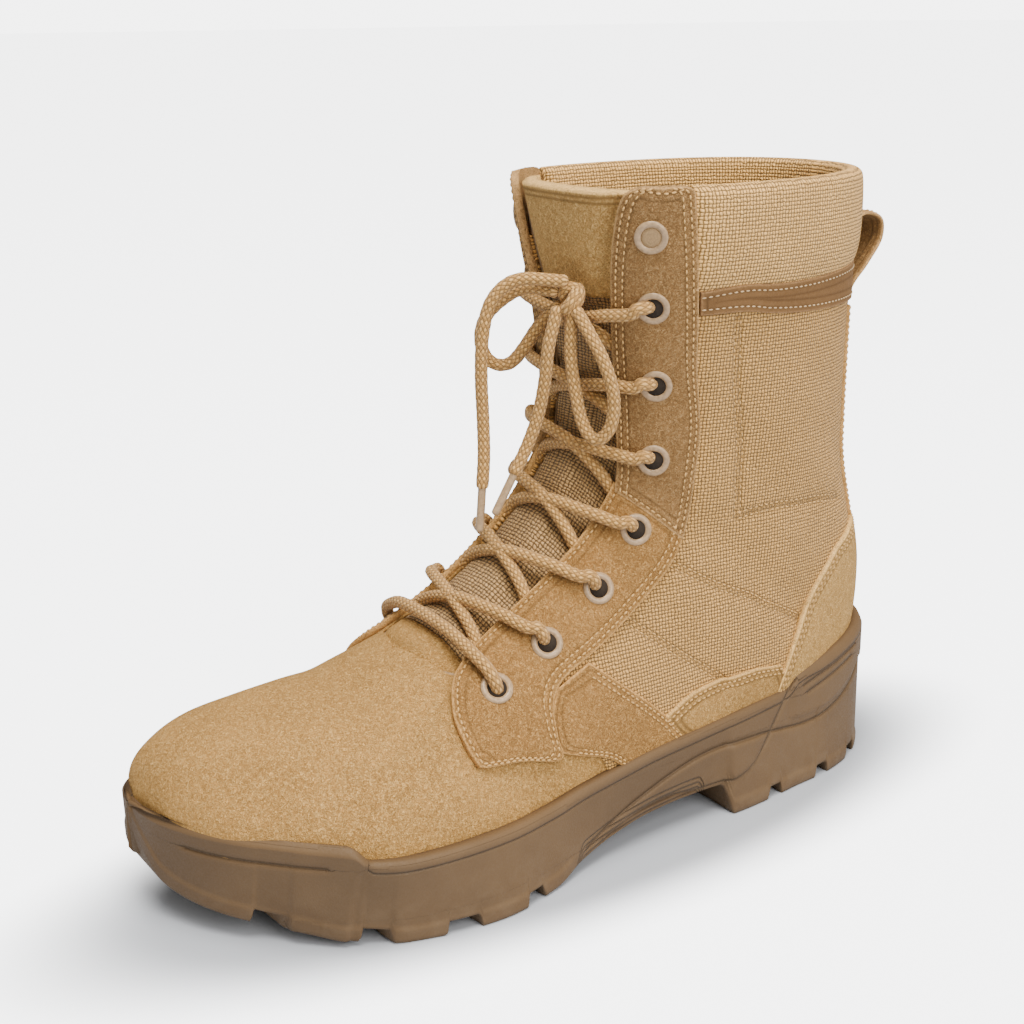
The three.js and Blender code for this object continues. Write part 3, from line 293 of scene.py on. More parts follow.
class BootForm:
    """The last's surface: sections from toe (0) to collar (1), angle 0 at the ridge, +90 degrees lateral."""

    above_collar = 200.0

    def __init__(self) -> None:
        """Turns the tables' shares into millimetres."""
        foot, shaft = np.array(FOOT_SECTIONS), np.array(SHAFT_SECTIONS)
        length, ball, across = FOOT_LENGTH, BALL_WIDTH, SHAFT_WIDTH
        foot[:, :8] *= [length, INSTEP_HEIGHT, length, HEEL_SEAT, ball, ball, ball, ball]
        rises = SHAFT_HEIGHT - INSTEP_HEIGHT, SHAFT_HEIGHT - HEEL_SEAT
        shaft[:, :8] *= [length, rises[0], length, rises[1], across, across, across, across]
        shaft[:, 1] += INSTEP_HEIGHT
        shaft[:, 3] += HEEL_SEAT
        rows = np.vstack([foot, shaft])
        self.table = SectionTable(np.column_stack([np.linspace(0, 1, len(rows)), rows]))
        self.throat = SectionTable(THROAT)
        self.seat = SectionTable(SEAT)

    def point(self, station: Array, angle: Array) -> Array:
        """Point of the form: a superellipse between ridge and keel, with its widest line at a share."""
        station, angle = np.broadcast_arrays(np.asarray(station, float), np.asarray(angle, float))
        row = self.table(np.minimum(station, 1.0))
        c, n = np.cos(angle), np.sin(angle)
        power = 2.0 / np.where(c >= 0, row[..., 9], row[..., 10])
        down, out = np.sign(c) * np.abs(c) ** power, np.sign(n) * np.abs(n) ** power
        widest = row[..., 8]
        along = np.where(c >= 0, widest * (1 - down), widest - (1 - widest) * down)
        half = np.where(n >= 0, row[..., 6], row[..., 7])
        x = row[..., 4] + (row[..., 5] - row[..., 4]) * along + out * half
        y = row[..., 0] + (row[..., 2] - row[..., 0]) * along
        z = row[..., 1] + (row[..., 3] - row[..., 1]) * along
        return np.stack([x, y, z + np.maximum(0, station - 1) * self.above_collar], -1)

    def normal(self, station: Array, angle: Array) -> Array:
        """Outward normal from differences; near the toe tip both sides share one normal."""
        step, turn = 0.004, 0.02
        station, angle = np.broadcast_arrays(np.asarray(station, float), np.asarray(angle, float))
        s = np.clip(station, 3 * step, 1 - step)

        def cross(at: Array) -> Array:
            """Normal at the clipped station."""
            around = self.point(s, at + turn) - self.point(s, at - turn)
            return unit(np.cross(around, self.point(s + step, at) - self.point(s - step, at)))

        own = cross(angle)
        tip = own + cross(-angle) * [-1.0, 1.0, 1.0]
        tip[..., 0] = 0.0
        mix = np.clip(station / (3 * step), 0, 1)[..., None]
        return unit(unit(tip) * (1 - mix) + own * mix)

    def relief(self, station: Array, angle: Array) -> Array:
        """Height of the creases: a bell curve of the distance to each fold's line."""
        place = np.stack([station * STATION_SCALE, np.degrees(angle) * ANGLE_SCALE], -1)
        total = np.zeros(place.shape[:-1])
        for fold in FOLDS:
            line = np.array([fold.start, fold.end]) * [STATION_SCALE, ANGLE_SCALE]
            total += fold.height * np.exp(-((polyline_distance(place, line) / fold.width) ** 2))
        return total

    def over(self, station: Array, angle: Array, height: Array | float) -> Array:
        """Point at a height over the creased form."""
        station, angle = np.broadcast_arrays(np.asarray(station, float), np.asarray(angle, float))
        wrapped = (angle + math.pi) % (2 * math.pi) - math.pi
        lift = (np.asarray(height, float) + self.relief(station, wrapped))[..., None]
        return self.point(station, angle) + self.normal(station, angle) * lift

    def throat_angle(self, side: Side, station: Array) -> Array:
        """Angle of the throat's edge on one side."""
        column = 0 if side is Side.LATERAL else 1
        return side.value * np.radians(self.throat(np.asarray(station, float))[..., column])

    def side_angle(self, side: Side, station: Array, degrees: Array) -> Array:
        """Puts a lateral angle on either side, at its place between the throat's edge and the widest line."""
        angle = np.radians(degrees)
        if side is Side.LATERAL:
            return angle
        lateral, edge = self.throat_angle(Side.LATERAL, station), -self.throat_angle(Side.MEDIAL, station)
        share = (angle - lateral) / (math.pi / 2 - lateral)
        return np.where(angle > math.pi / 2, -angle, -(edge + share * (math.pi / 2 - edge)))

    def seat_height(self, y: Array) -> Array:
        """Height of the seat inside the sole."""
        return HEEL_SEAT * self.seat(np.asarray(y, float) / FOOT_LENGTH)[..., 0]


FORM = BootForm()


def to_frame(points: Array) -> Array:
    """Millimetres of the last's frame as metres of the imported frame."""
    return (points + FORM_ZERO) * MM


@dataclass
class Surface:
    """Points in millimetres, faces over them, a number or a pair of lengths at each point."""

    points: Array
    faces: Array
    values: dict[str, Array] = field(default_factory=dict)
    cloth: Array | None = None


def grid_faces(rows: int, columns: int, wrap: bool = False) -> Array:
    """Quads of a grid; with wrap the last column joins the first."""
    index = np.arange(rows * columns).reshape(rows, columns)
    if wrap:
        index = np.column_stack([index, index[:, 0]])
    corners = [index[:-1, :-1], index[1:, :-1], index[1:, 1:], index[:-1, 1:]]
    return np.stack(corners, -1).reshape(-1, 4)


def shell(top: Array, bottom: Array, values: dict[str, Array] | None = None,
          cloth: Array | None = None, open_rows: int = 0) -> Surface:
    """Closed solid between two grids of the same shape, joined round their border.

    Args:
        top: Outer grid, rows by columns by 3.
        bottom: Inner grid.
        values: Numbers on the top grid; the bottom gets zeros.
        cloth: Lengths along and across the cloth on the top grid.
        open_rows: Rows from the start whose first column gets no wall, where a mirrored half meets it.

    Returns:
        The solid with its faces pointing out.
    """
    rows, columns = top.shape[:2]
    count = rows * columns
    index = np.arange(count).reshape(rows, columns)
    upper = grid_faces(rows, columns)
    loop = np.concatenate([index[0, :-1], index[:-1, -1], index[-1, :0:-1], index[:0:-1, 0]])
    after = np.roll(loop, -1)
    border = np.stack([loop, after, after + count, loop + count], -1)
    meets = (loop % columns == 0) & (after % columns == 0) & (np.maximum(loop, after) // columns <= open_rows)
    border = border[~meets]
    faces = np.vstack([upper, upper[:, ::-1] + count, border])
    flat_top, flat_bottom = top.reshape(-1, 3), bottom.reshape(-1, 3)
    a, b, c = flat_top[upper[:, 0]], flat_top[upper[:, 1]], flat_top[upper[:, 2]]
    facing = np.einsum("ij,ij->i", np.cross(b - a, c - a), (flat_top - flat_bottom)[upper[:, 0]]).sum()
    if facing < 0:
        faces = faces[:, ::-1]
    both = {name: np.concatenate([v.ravel(), np.zeros(count)]) for name, v in (values or {}).items()}
    weave = None if cloth is None else np.vstack([cloth.reshape(-1, 2)] * 2)
    return Surface(np.vstack([flat_top, flat_bottom]), faces, both, weave)


def joined(surfaces: list[Surface]) -> Surface:
    """Several surfaces as one; numbers that a surface lacks are zero."""
    start = np.cumsum([0] + [len(s.points) for s in surfaces[:-1]])
    names = {name for s in surfaces for name in s.values}
    values = {
        name: np.concatenate([s.values.get(name, np.zeros(len(s.points))) for s in surfaces])
        for name in names
    }
    cloth = None
    if all(s.cloth is not None for s in surfaces):
        cloth = np.vstack([s.cloth for s in surfaces])
    faces = np.vstack([s.faces + offset for s, offset in zip(surfaces, start)])
    return Surface(np.vstack([s.points for s in surfaces]), faces, values, cloth)


def side_cloth(points: Array) -> Array:
    """Lengths round and up the shaft: straight along y in front of the ankle, an arc round the back."""
    back, radius = 88.0, 46.0
    x, y, z = points[..., 0], points[..., 1], points[..., 2]
    arc = radius * np.arctan2(np.maximum(y - back, 0), np.maximum(np.abs(x), 1e-3))
    return np.stack([np.where(y < back, y - back, arc), z], -1)


def add_piece(name: str, surface: Surface, material: Material,
              replaced: tuple[str, ...] = (), weld: float = 0.004) -> bpy.types.Object:
    """Makes an object from a surface, welds its seams and rides it on the boot.

    Args:
        name: The piece's name.
        surface: Its shape in millimetres.
        material: Its finish.
        replaced: CAD nodes that it stands for.
        weld: Points nearer than this, in millimetres, become one.

    Returns:
        The object.
    """
    mesh = bpy.data.meshes.new(name)
    faces = surface.faces
    mesh.vertices.add(len(surface.points))
    mesh.vertices.foreach_set("co", to_frame(surface.points).astype(np.float32).ravel())
    mesh.loops.add(faces.size)
    mesh.loops.foreach_set("vertex_index", faces.astype(np.int32).ravel())
    mesh.polygons.add(len(faces))
    mesh.polygons.foreach_set("loop_start", np.arange(0, faces.size, faces.shape[1], dtype=np.int32))
    mesh.update(calc_edges=True)
    for label, numbers in surface.values.items():
        layer = mesh.attributes.new(label, "FLOAT", "POINT")
        layer.data.foreach_set("value", numbers.astype(np.float32))
    if surface.cloth is not None:
        layer = mesh.attributes.new("cloth", "FLOAT_VECTOR", "POINT")
        lengths = np.zeros((len(surface.cloth), 3), np.float32)
        lengths[:, : surface.cloth.shape[1]] = surface.cloth
        layer.data.foreach_set("vector", lengths.ravel())
    if weld > 0:
        work = bmesh.new()
        work.from_mesh(mesh)
        bmesh.ops.remove_doubles(work, verts=work.verts, dist=weld * MM)
        bmesh.ops.dissolve_degenerate(work, edges=work.edges, dist=1e-7)
        work.to_mesh(mesh)
        work.free()
    mesh.validate()
    mesh.shade_smooth()
    piece = bpy.data.objects.new(name, mesh)
    bpy.context.scene.collection.objects.link(piece)
    piece.data.materials.append(material)
    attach(piece, "root")
    if replaced:
        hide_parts(*replaced)
    LOG.info("%s: %d points, %d faces", name, len(mesh.vertices), len(mesh.polygons))
    return piece


def rim_spacing(length: float, step: float, rim: tuple[float, ...] = (0.12, 0.32, 0.6, 1.0, 1.6)) -> Array:
    """Shares from 0 to 1 with even steps inside and closer ones near both ends."""
    near = np.array([d for d in rim if d < length / 2]) / length
    inner = near[-1] if len(near) else 0.0
    count = max(1, int(round((1 - 2 * inner) * length / step)))
    middle = np.linspace(inner, 1 - inner, count + 1)
    return np.concatenate([[0.0], near[:-1], middle, 1 - near[:-1][::-1], [1.0]])


def rounded_height(distance: Array, high: float, radius: float) -> Array:
    """Height of a sheet near its cut edge: a quarter circle of a radius down from the top."""
    inside = 1 - np.clip(distance / radius, 0, 1)
    return high - radius * (1 - np.sqrt(np.clip(1 - inside**2, 0, 1)))


@dataclass
class Panel:
    """A sheet between two edges over the form, given on the lateral side as station and angle in degrees."""

    inner: Rows
    outer: Rows
    side: Side = Side.LATERAL
    low: float = GAP * 0.2
    high: float = TOP
    step: float = 1.5
    edge_radius: float = 0.7
    around_back: bool = False

    def __post_init__(self) -> None:
        """Puts the edges on the panel's side, or round the back of the heel."""
        self.edges = [self._placed(rows) for rows in (self.inner, self.outer)]

    def _placed(self, rows: Rows) -> Array:
        """An edge as station and angle in radians."""
        s, degrees = np.array(rows, float).T
        if not self.around_back:
            return np.column_stack([s, FORM.side_angle(self.side, s, degrees)])
        lateral = np.column_stack([s, np.radians(degrees)])
        medial = np.column_stack([s, np.radians(360 - degrees)])[:-1][::-1]
        return np.vstack([lateral, medial])

    def place(self, u: Array, v: Array) -> Array:
        """Station and angle at shares along and across the panel."""
        a, b = spline(self.edges[0], u), spline(self.edges[1], u)
        return a + (b - a) * np.asarray(v)[..., None]

    def grid(self) -> tuple[Array, Array, Array]:
        """Stations, angles and distances to the cut edge on a grid with closer rows at the rim."""
        probe = np.linspace(0, 1, 40)
        middle = self.place(probe, np.full(40, 0.5))
        long = np.linalg.norm(np.diff(FORM.point(*middle.T), axis=0), axis=1).sum()
        ends = np.stack([self.place(probe, np.full(40, v)) for v in (0.0, 0.5, 1.0)])
        points = FORM.point(ends[..., 0], ends[..., 1])
        wide = np.linalg.norm(np.diff(points, axis=0), axis=-1).sum(0).max()
        u, v = rim_spacing(long, self.step), rim_spacing(wide, self.step)
        place = self.place(np.repeat(u[:, None], len(v), 1), np.repeat(v[None], len(u), 0))
        flat = FORM.point(place[..., 0], place[..., 1])
        return place[..., 0], place[..., 1], self._edge_distance(flat)

    @staticmethod
    def _edge_distance(points: Array) -> Array:
        """Least length along the grid's own lines to one of its four borders."""
        def least(axis: int) -> Array:
            """Least length to the two borders that the axis crosses."""
            part = np.linalg.norm(np.diff(points, axis=axis), axis=-1)
            total = np.cumsum(part, axis=axis)
            zero = np.zeros_like(np.take(total, [0], axis=axis))
            along = np.concatenate([zero, total], axis=axis)
            return np.minimum(along, np.take(along, [-1], axis=axis) - along)
        return np.minimum(least(0), least(1))

    def surface(self, puff: float = 0.0) -> Surface:
        """The panel as a closed sheet with rounded cut edges, crowned by puff away from its rim."""
        s, a, distance = self.grid()
        height = rounded_height(distance, self.high, self.edge_radius)
        height = height + puff * smoothstep(0.5, 9.0, distance)
        top = FORM.over(s, a, height)
        return shell(top, FORM.over(s, a, self.low), {"edge": distance}, side_cloth(top))

    def row(self, edge: str, inset: float, start: float = 0.0, stop: float = 1.0) -> Array:
        """Stations and angles of a line at an inset in millimetres from one of the four borders.

        Args:
            edge: "inner", "outer", "start" or "end".
            inset: Distance from that border.
            start: Share of the border where the line starts.
            stop: Share where it stops.

        Returns:
            Rows of station and angle.
        """
        count, fine = 160, 24
        t, cross = np.linspace(start, stop, count), np.linspace(0, 1, fine)
        along, far_side = edge in ("inner", "outer"), edge in ("outer", "end")
        grids = np.repeat(t[:, None], fine, 1), np.repeat(cross[None], count, 0)
        place = self.place(*(grids if along else grids[::-1]))
        points = FORM.point(place[..., 0], place[..., 1])
        run = np.cumsum(np.linalg.norm(np.diff(points, axis=1), axis=-1), axis=1)
        run = np.column_stack([np.zeros(count), run])
        if far_side:
            run = (run[:, -1:] - run)[:, ::-1]
            cross = cross[::-1]
        share = np.array([np.interp(inset, lengths, cross) for lengths in run])
        return self.place(t, share) if along else self.place(share, t)


@dataclass
class ThreadBank:
    """Collects rows of stitches and makes one mesh of them."""

    radius: float = 0.4
    length: float = 2.0
    pitch: float = 2.5
    sides: int = 6
    surfaces: list[Surface] = field(default_factory=list)

    def sew(self, place: Array, height: float) -> None:
        """Adds a row of stitches along stations and angles, at a height over the form."""
        s, a = place[:, 0], place[:, 1]
        self.sew_path(FORM.over(s, a, height), FORM.normal(s, a))

    def sew_path(self, path: Array, normals: Array) -> None:
        """Adds a row along a path: short barrels, thick in the middle, whose ends dip into the sheet."""
        both = resample(np.hstack([path, normals]), self.pitch)
        if len(both) < 3:
            return
        centre = (both[1:, :3] + both[:-1, :3]) / 2
        along = unit(np.diff(both[:, :3], axis=0))
        normal = unit(both[1:, 3:] + both[:-1, 3:])
        across = unit(np.cross(normal, along))
        t = np.array([0.0, 0.14, 0.5, 0.86, 1.0])
        thick = np.array([0.0, 0.8, 1.0, 0.8, 0.0])
        turn = np.arange(self.sides) * 2 * math.pi / self.sides
        ring = np.stack([np.cos(turn), np.sin(turn)], -1)
        width = thick[:, None] * ring[None, :, 0] * self.radius
        rise = thick[:, None] * ring[None, :, 1] * self.radius - 0.9 * self.radius * (2 * t[:, None] - 1) ** 2
        reach = np.repeat((t[:, None] - 0.5) * self.length, self.sides, 1)
        points = (
            centre[:, None, None]
            + across[:, None, None] * width[None, ..., None]
            + normal[:, None, None] * rise[None, ..., None]
            + along[:, None, None] * reach[None, ..., None]
        )
        one = grid_faces(len(t), self.sides, wrap=True)
        first = np.arange(len(centre)) * len(t) * self.sides
        faces = (one[None] + first[:, None, None]).reshape(-1, 4)[:, ::-1]
        self.surfaces.append(Surface(points.reshape(-1, 3), faces))

    def piece(self, name: str, material: Material, slot: str) -> bpy.types.Object:
        """One mesh of all the rows."""
        return add_piece(name, joined(self.surfaces), material, weld=0.001)


# Length over which a strand of the braid goes once round, in millimetres.
STRAND_PITCH = 7.5


def path_frames(path: Array) -> tuple[Array, Array, Array]:
    """Tangent and two normals along a path, carried from point to point without twist."""
    tangent = unit(np.gradient(path, axis=0))
    first = np.array([0.0, 0.0, 1.0]) if abs(tangent[0, 2]) < 0.9 else np.array([1.0, 0.0, 0.0])
    side = unit(np.cross(first, tangent[0]))
    sides = [side]
    for t in tangent[1:]:
        side = unit(side - t * float(side @ t))
        sides.append(side)
    sides = np.array(sides)
    return tangent, sides, np.cross(tangent, sides)


def tube(path: Array, radius: float, sides: int = 20, braid: float = 0.0) -> Surface:
    """Round bar along a path with rounded ends; a braid is two crossing spirals of low relief.

    Args:
        path: Points at even steps, in millimetres.
        radius: Radius of the bar.
        sides: Points round it.
        braid: Share of the radius by which the strands stand proud.

    Returns:
        A closed surface with the length along it and the cosine and sine of the way round.
    """
    tangent, side, up = path_frames(path)
    length = np.concatenate([[0], np.cumsum(np.linalg.norm(np.diff(path, axis=0), axis=1))])
    turn = np.linspace(0, 2 * math.pi, sides, endpoint=False)
    winding = 2 * math.pi / STRAND_PITCH * length[:, None]
    spiral = np.cos(4 * turn[None] + winding) * np.cos(4 * turn[None] - winding)
    size = radius * (1 + braid * spiral)
    ring = np.cos(turn)[None, :, None] * side[:, None] + np.sin(turn)[None, :, None] * up[:, None]
    body = path[:, None] + ring * size[..., None]
    caps = []
    for at, sign in ((0, -1.0), (-1, 1.0)):
        levels = np.radians([30, 60, 90])
        flat = ring[at][None] * np.cos(levels)[:, None, None] * radius
        out = tangent[at] * sign * np.sin(levels)[:, None, None] * radius * 0.7
        cap = path[at] + flat + out
        caps.append(cap[::-1] if sign < 0 else cap)
    points = np.concatenate([caps[0], body, caps[1]])
    rows = len(points)
    long = np.concatenate([np.full(3, length[0]), length, np.full(3, length[-1])])
    around = np.repeat(np.stack([np.cos(turn), np.sin(turn)], -1)[None], rows, 0)
    cloth = np.concatenate([np.repeat(long[:, None, None], sides, 1), around], -1)
    faces = grid_faces(rows, sides, wrap=True)
    return Surface(points.reshape(-1, 3), faces[:, ::-1], {}, cloth.reshape(-1, 3))


def revolve(profile: Array, sides: int, origin: Array, axis: Array) -> Surface:
    """Profile of radius and height turned round an axis; it ends on the axis or closes on itself."""
    axis = unit(axis)
    helper = np.array([0.0, 0.0, 1.0]) if abs(axis[2]) < 0.9 else np.array([0.0, 1.0, 0.0])
    a = unit(np.cross(axis, helper))
    b = np.cross(axis, a)
    turn = np.linspace(0, 2 * math.pi, sides, endpoint=False)
    ring = np.cos(turn)[:, None] * a + np.sin(turn)[:, None] * b
    points = origin + profile[:, 0][:, None, None] * ring[None] + profile[:, 1][:, None, None] * axis
    return Surface(points.reshape(-1, 3), grid_faces(len(profile), sides, wrap=True))


Node = bpy.types.Node
Socket = bpy.types.NodeSocket
Tree = bpy.types.NodeTree


class Graph:
    """Adds shader nodes to one tree and links them; each method gives back an output socket."""

    def __init__(self, tree: Tree) -> None:
        """Keeps the tree that the nodes go into."""
        self.tree = tree

    def feed(self, socket: Socket, value: Socket | float | tuple[float, ...]) -> None:
        """Links a socket, or sets its constant."""
        if isinstance(value, bpy.types.NodeSocket):
            self.tree.links.new(value, socket)
        else:
            socket.default_value = value

    def math(self, operation: str, *terms: Socket | float, clamp: bool = False) -> Socket:
        """A Math node."""
        node = self.tree.nodes.new("ShaderNodeMath")
        node.operation = operation
        node.use_clamp = clamp
        for socket, term in zip(node.inputs, terms):
            self.feed(socket, term)
        return node.outputs[0]

    def bell(self, away: Socket) -> Socket:
        """1 at 0, falling off as a bell curve."""
        return self.math("EXPONENT", self.math("MULTIPLY", self.math("MULTIPLY", away, away), -1.0))

    def wave(self, cells: Socket) -> Socket:
        """Half a sine over each whole number: 0 at its ends and 1 in its middle."""
        return self.math("SINE", self.math("MULTIPLY", self.math("FRACT", cells), math.pi))

    def odd(self, first: Socket, second: Socket) -> Socket:
        """1 and 0 by turns over the cells of two numbers, like a chessboard."""
        whole = self.math("ADD", self.math("FLOOR", first), self.math("FLOOR", second))
        return self.math("FLOORED_MODULO", whole, 2.0)

    def mottled(self, value: Socket, colour: Colour, dark: float, light: float, low: float = 0.35,
                high: float = 0.7) -> Socket:
        """A colour between two factors of itself, as a value goes from low to high."""
        return self.mix(self.span(value, low, high), tinted(colour, dark), tinted(colour, light))

    def mix(self, share: Socket | float, a: Socket | tuple[float, ...], b: Socket | tuple[float, ...],
            blend: str = "MIX") -> Socket:
        """A colour Mix node."""
        node = self.tree.nodes.new("ShaderNodeMix")
        node.data_type = "RGBA"
        node.blend_type = blend
        self.feed(node.inputs[0], share)
        for socket, value in ((node.inputs[6], a), (node.inputs[7], b)):
            self.feed(socket, value if isinstance(value, bpy.types.NodeSocket) else (*value, 1.0))
        return node.outputs[2]

    def span(self, value: Socket, low: float, high: float, to_low: float = 0.0,
             to_high: float = 1.0) -> Socket:
        """A smooth Map Range node."""
        node = self.tree.nodes.new("ShaderNodeMapRange")
        node.interpolation_type = "SMOOTHSTEP"
        self.feed(node.inputs[0], value)
        for socket, number in zip(list(node.inputs)[1:5], (low, high, to_low, to_high)):
            socket.default_value = number
        return node.outputs[0]

    def noise(self, vector: Socket, scale: float, detail: float = 2.0, distortion: float = 0.0) -> Socket:
        """A Noise Texture's value."""
        node = self.tree.nodes.new("ShaderNodeTexNoise")
        self.feed(node.inputs["Vector"], vector)
        node.inputs["Scale"].default_value = scale
        node.inputs["Detail"].default_value = detail
        node.inputs["Distortion"].default_value = distortion
        return node.outputs[0]

    def split(self, vector: Socket) -> tuple[Socket, Socket, Socket]:
        """The three numbers of a vector."""
        node = self.tree.nodes.new("ShaderNodeSeparateXYZ")
        self.feed(node.inputs[0], vector)
        return node.outputs[0], node.outputs[1], node.outputs[2]

    def place(self) -> Socket:
        """Object coordinates."""
        return self.tree.nodes.new("ShaderNodeTexCoord").outputs["Object"]

    def attribute(self, name: str, vector: bool = False) -> Socket:
        """A piece's own numbers."""
        node = self.tree.nodes.new("ShaderNodeAttribute")
        node.attribute_name = name
        return node.outputs["Vector" if vector else "Fac"]

    def bump(self, height: Socket, strength: float, distance: float) -> Socket:
        """A Bump node's normal; distance in metres."""
        node = self.tree.nodes.new("ShaderNodeBump")
        node.inputs["Strength"].default_value = strength
        node.inputs["Distance"].default_value = distance
        self.feed(node.inputs["Height"], height)
        return node.outputs[0]

    def group(self, group: Tree, **inputs: Socket | float) -> dict[str, Socket]:
        """Places a node group and gives its outputs by name."""
        node = self.tree.nodes.new("ShaderNodeGroup")
        node.node_tree = group
        for name, value in inputs.items():
            self.feed(node.inputs[name], value)
        return {socket.name: socket for socket in node.outputs}


def new_group(name: str, inputs: dict[str, str],
              outputs: tuple[str, ...]) -> tuple[Tree, Graph, Node, Node]:
    """An empty shader node group.

    Args:
        name: The group's name.
        inputs: Socket kinds by name, "Float" or "Vector".
        outputs: Names of its numbers.

    Returns:
        The group, its graph, and the nodes that hold its inputs and outputs.
    """
    tree = bpy.data.node_groups.new(name, "ShaderNodeTree")
    for label, kind in inputs.items():
        tree.interface.new_socket(label, in_out="INPUT", socket_type=f"NodeSocket{kind}")
    for label in outputs:
        tree.interface.new_socket(label, in_out="OUTPUT", socket_type="NodeSocketFloat")
    return tree, Graph(tree), tree.nodes.new("NodeGroupInput"), tree.nodes.new("NodeGroupOutput")


def nap_group() -> Tree:
    """Suede nap: short curled fibres, clumps of them, and broad brushed patches."""
    tree, graph, given, out = new_group("Nap", {"Vector": "Vector"}, ("Fibre", "Clump", "Patch"))
    vector = given.outputs["Vector"]
    waves = graph.noise(vector, 520.0, 1.5, 1.8)
    curl = graph.math("ABSOLUTE", graph.math("SINE", graph.math("MULTIPLY", waves, 30.0)))
    fine = graph.noise(vector, 1700.0, 2.5, 1.0)
    fibre = graph.math("ADD", graph.math("MULTIPLY", curl, 0.4), graph.math("MULTIPLY", fine, 0.7))
    graph.feed(out.inputs["Fibre"], fibre)
    graph.feed(out.inputs["Clump"], graph.noise(vector, 980.0, 3.0, 1.4))
    graph.feed(out.inputs["Patch"], graph.noise(vector, 26.0, 4.0, 0.8))
    return tree


def weave_group() -> Tree:
    """Plain weave of round yarns: over at one crossing, under at the next, with gaps between them."""
    kinds = {"Cloth": "Vector", "Yarn": "Float"}
    tree, graph, given, out = new_group("Weave", kinds, ("Height", "Over", "GapShade"))
    u, v, _ = graph.split(given.outputs["Cloth"])
    yarn = given.outputs["Yarn"]
    wobble = graph.noise(given.outputs["Cloth"], 0.5, 2.0)
    shift = graph.math("MULTIPLY", graph.math("SUBTRACT", wobble, 0.5), 0.9)
    cell_u = graph.math("ADD", graph.math("DIVIDE", u, yarn), shift)
    cell_v = graph.math("SUBTRACT", graph.math("DIVIDE", v, yarn), shift)
    odd = graph.odd(cell_u, cell_v)
    round_u, round_v = graph.wave(cell_u), graph.wave(cell_v)
    warp = graph.math("MULTIPLY", graph.math("POWER", round_u, 0.6), graph.math("POWER", round_v, 0.3))
    weft = graph.math("MULTIPLY", graph.math("POWER", round_v, 0.6), graph.math("POWER", round_u, 0.3))
    height = graph.math("ADD", graph.math("MULTIPLY", warp, odd),
                        graph.math("MULTIPLY", weft, graph.math("SUBTRACT", 1.0, odd)))
    graph.feed(out.inputs["Height"], height)
    graph.feed(out.inputs["Over"], odd)
    graph.feed(out.inputs["GapShade"], graph.span(height, 0.35, 0.88, 1.0, 0.0))
    return tree


def seam_group() -> Tree:
    """Rows of stitching at two insets from a cut edge: a trough along each, and the fuzzy light edge."""
    kinds = {"Edge": "Float", "First": "Float", "Second": "Float", "Width": "Float"}
    tree, graph, given, out = new_group("Seam", kinds, ("Trough", "Cut"))
    edge, width = given.outputs["Edge"], given.outputs["Width"]
    troughs = []
    for name in ("First", "Second"):
        away = graph.math("DIVIDE", graph.math("SUBTRACT", edge, given.outputs[name]), width)
        troughs.append(graph.bell(away))
    graph.feed(out.inputs["Trough"], graph.math("MAXIMUM", *troughs))
    graph.feed(out.inputs["Cut"], graph.span(edge, 0.25, 1.15, 1.0, 0.0))
    return tree


def braid_group() -> Tree:
    """Round braid: strands slanting both ways over and under each other, longer than they are wide."""
    tree, graph, given, out = new_group("Braid", {"Cloth": "Vector"}, ("Height", "Over"))
    along, cosine, sine = graph.split(given.outputs["Cloth"])
    around = graph.math("MULTIPLY", graph.math("ARCTAN2", sine, cosine), 8.0 / (2 * math.pi))
    length = graph.math("DIVIDE", along, 2.6)
    first, second = graph.math("ADD", length, around), graph.math("SUBTRACT", length, around)
    height = graph.math("POWER", graph.math("MULTIPLY", graph.wave(first), graph.wave(second)), 0.5)
    graph.feed(out.inputs["Height"], height)
    graph.feed(out.inputs["Over"], graph.odd(first, second))
    return tree


@dataclass(frozen=True)
class Finishes:
    """The node groups that the finishes share."""

    nap: Tree
    weave: Tree
    seam: Tree
    braid: Tree

    @classmethod
    def build(cls) -> "Finishes":
        """Makes each group once."""
        return cls(nap_group(), weave_group(), seam_group(), braid_group())


def blank_material(name: str, roughness: float, specular: float) -> tuple[Material, Graph, Node]:
    """A material with one Principled BSDF, its constants set on the shader's own sockets."""
    material = bpy.data.materials.new(name)
    material.use_nodes = True
    shader = material.node_tree.nodes["Principled BSDF"]
    shader.inputs["Roughness"].default_value = roughness
    shader.inputs["Specular IOR Level"].default_value = specular
    return material, Graph(material.node_tree), shader


def tinted(colour: Colour, factor: float) -> Colour:
    """A colour times a factor."""
    return (colour[0] * factor, colour[1] * factor, colour[2] * factor)


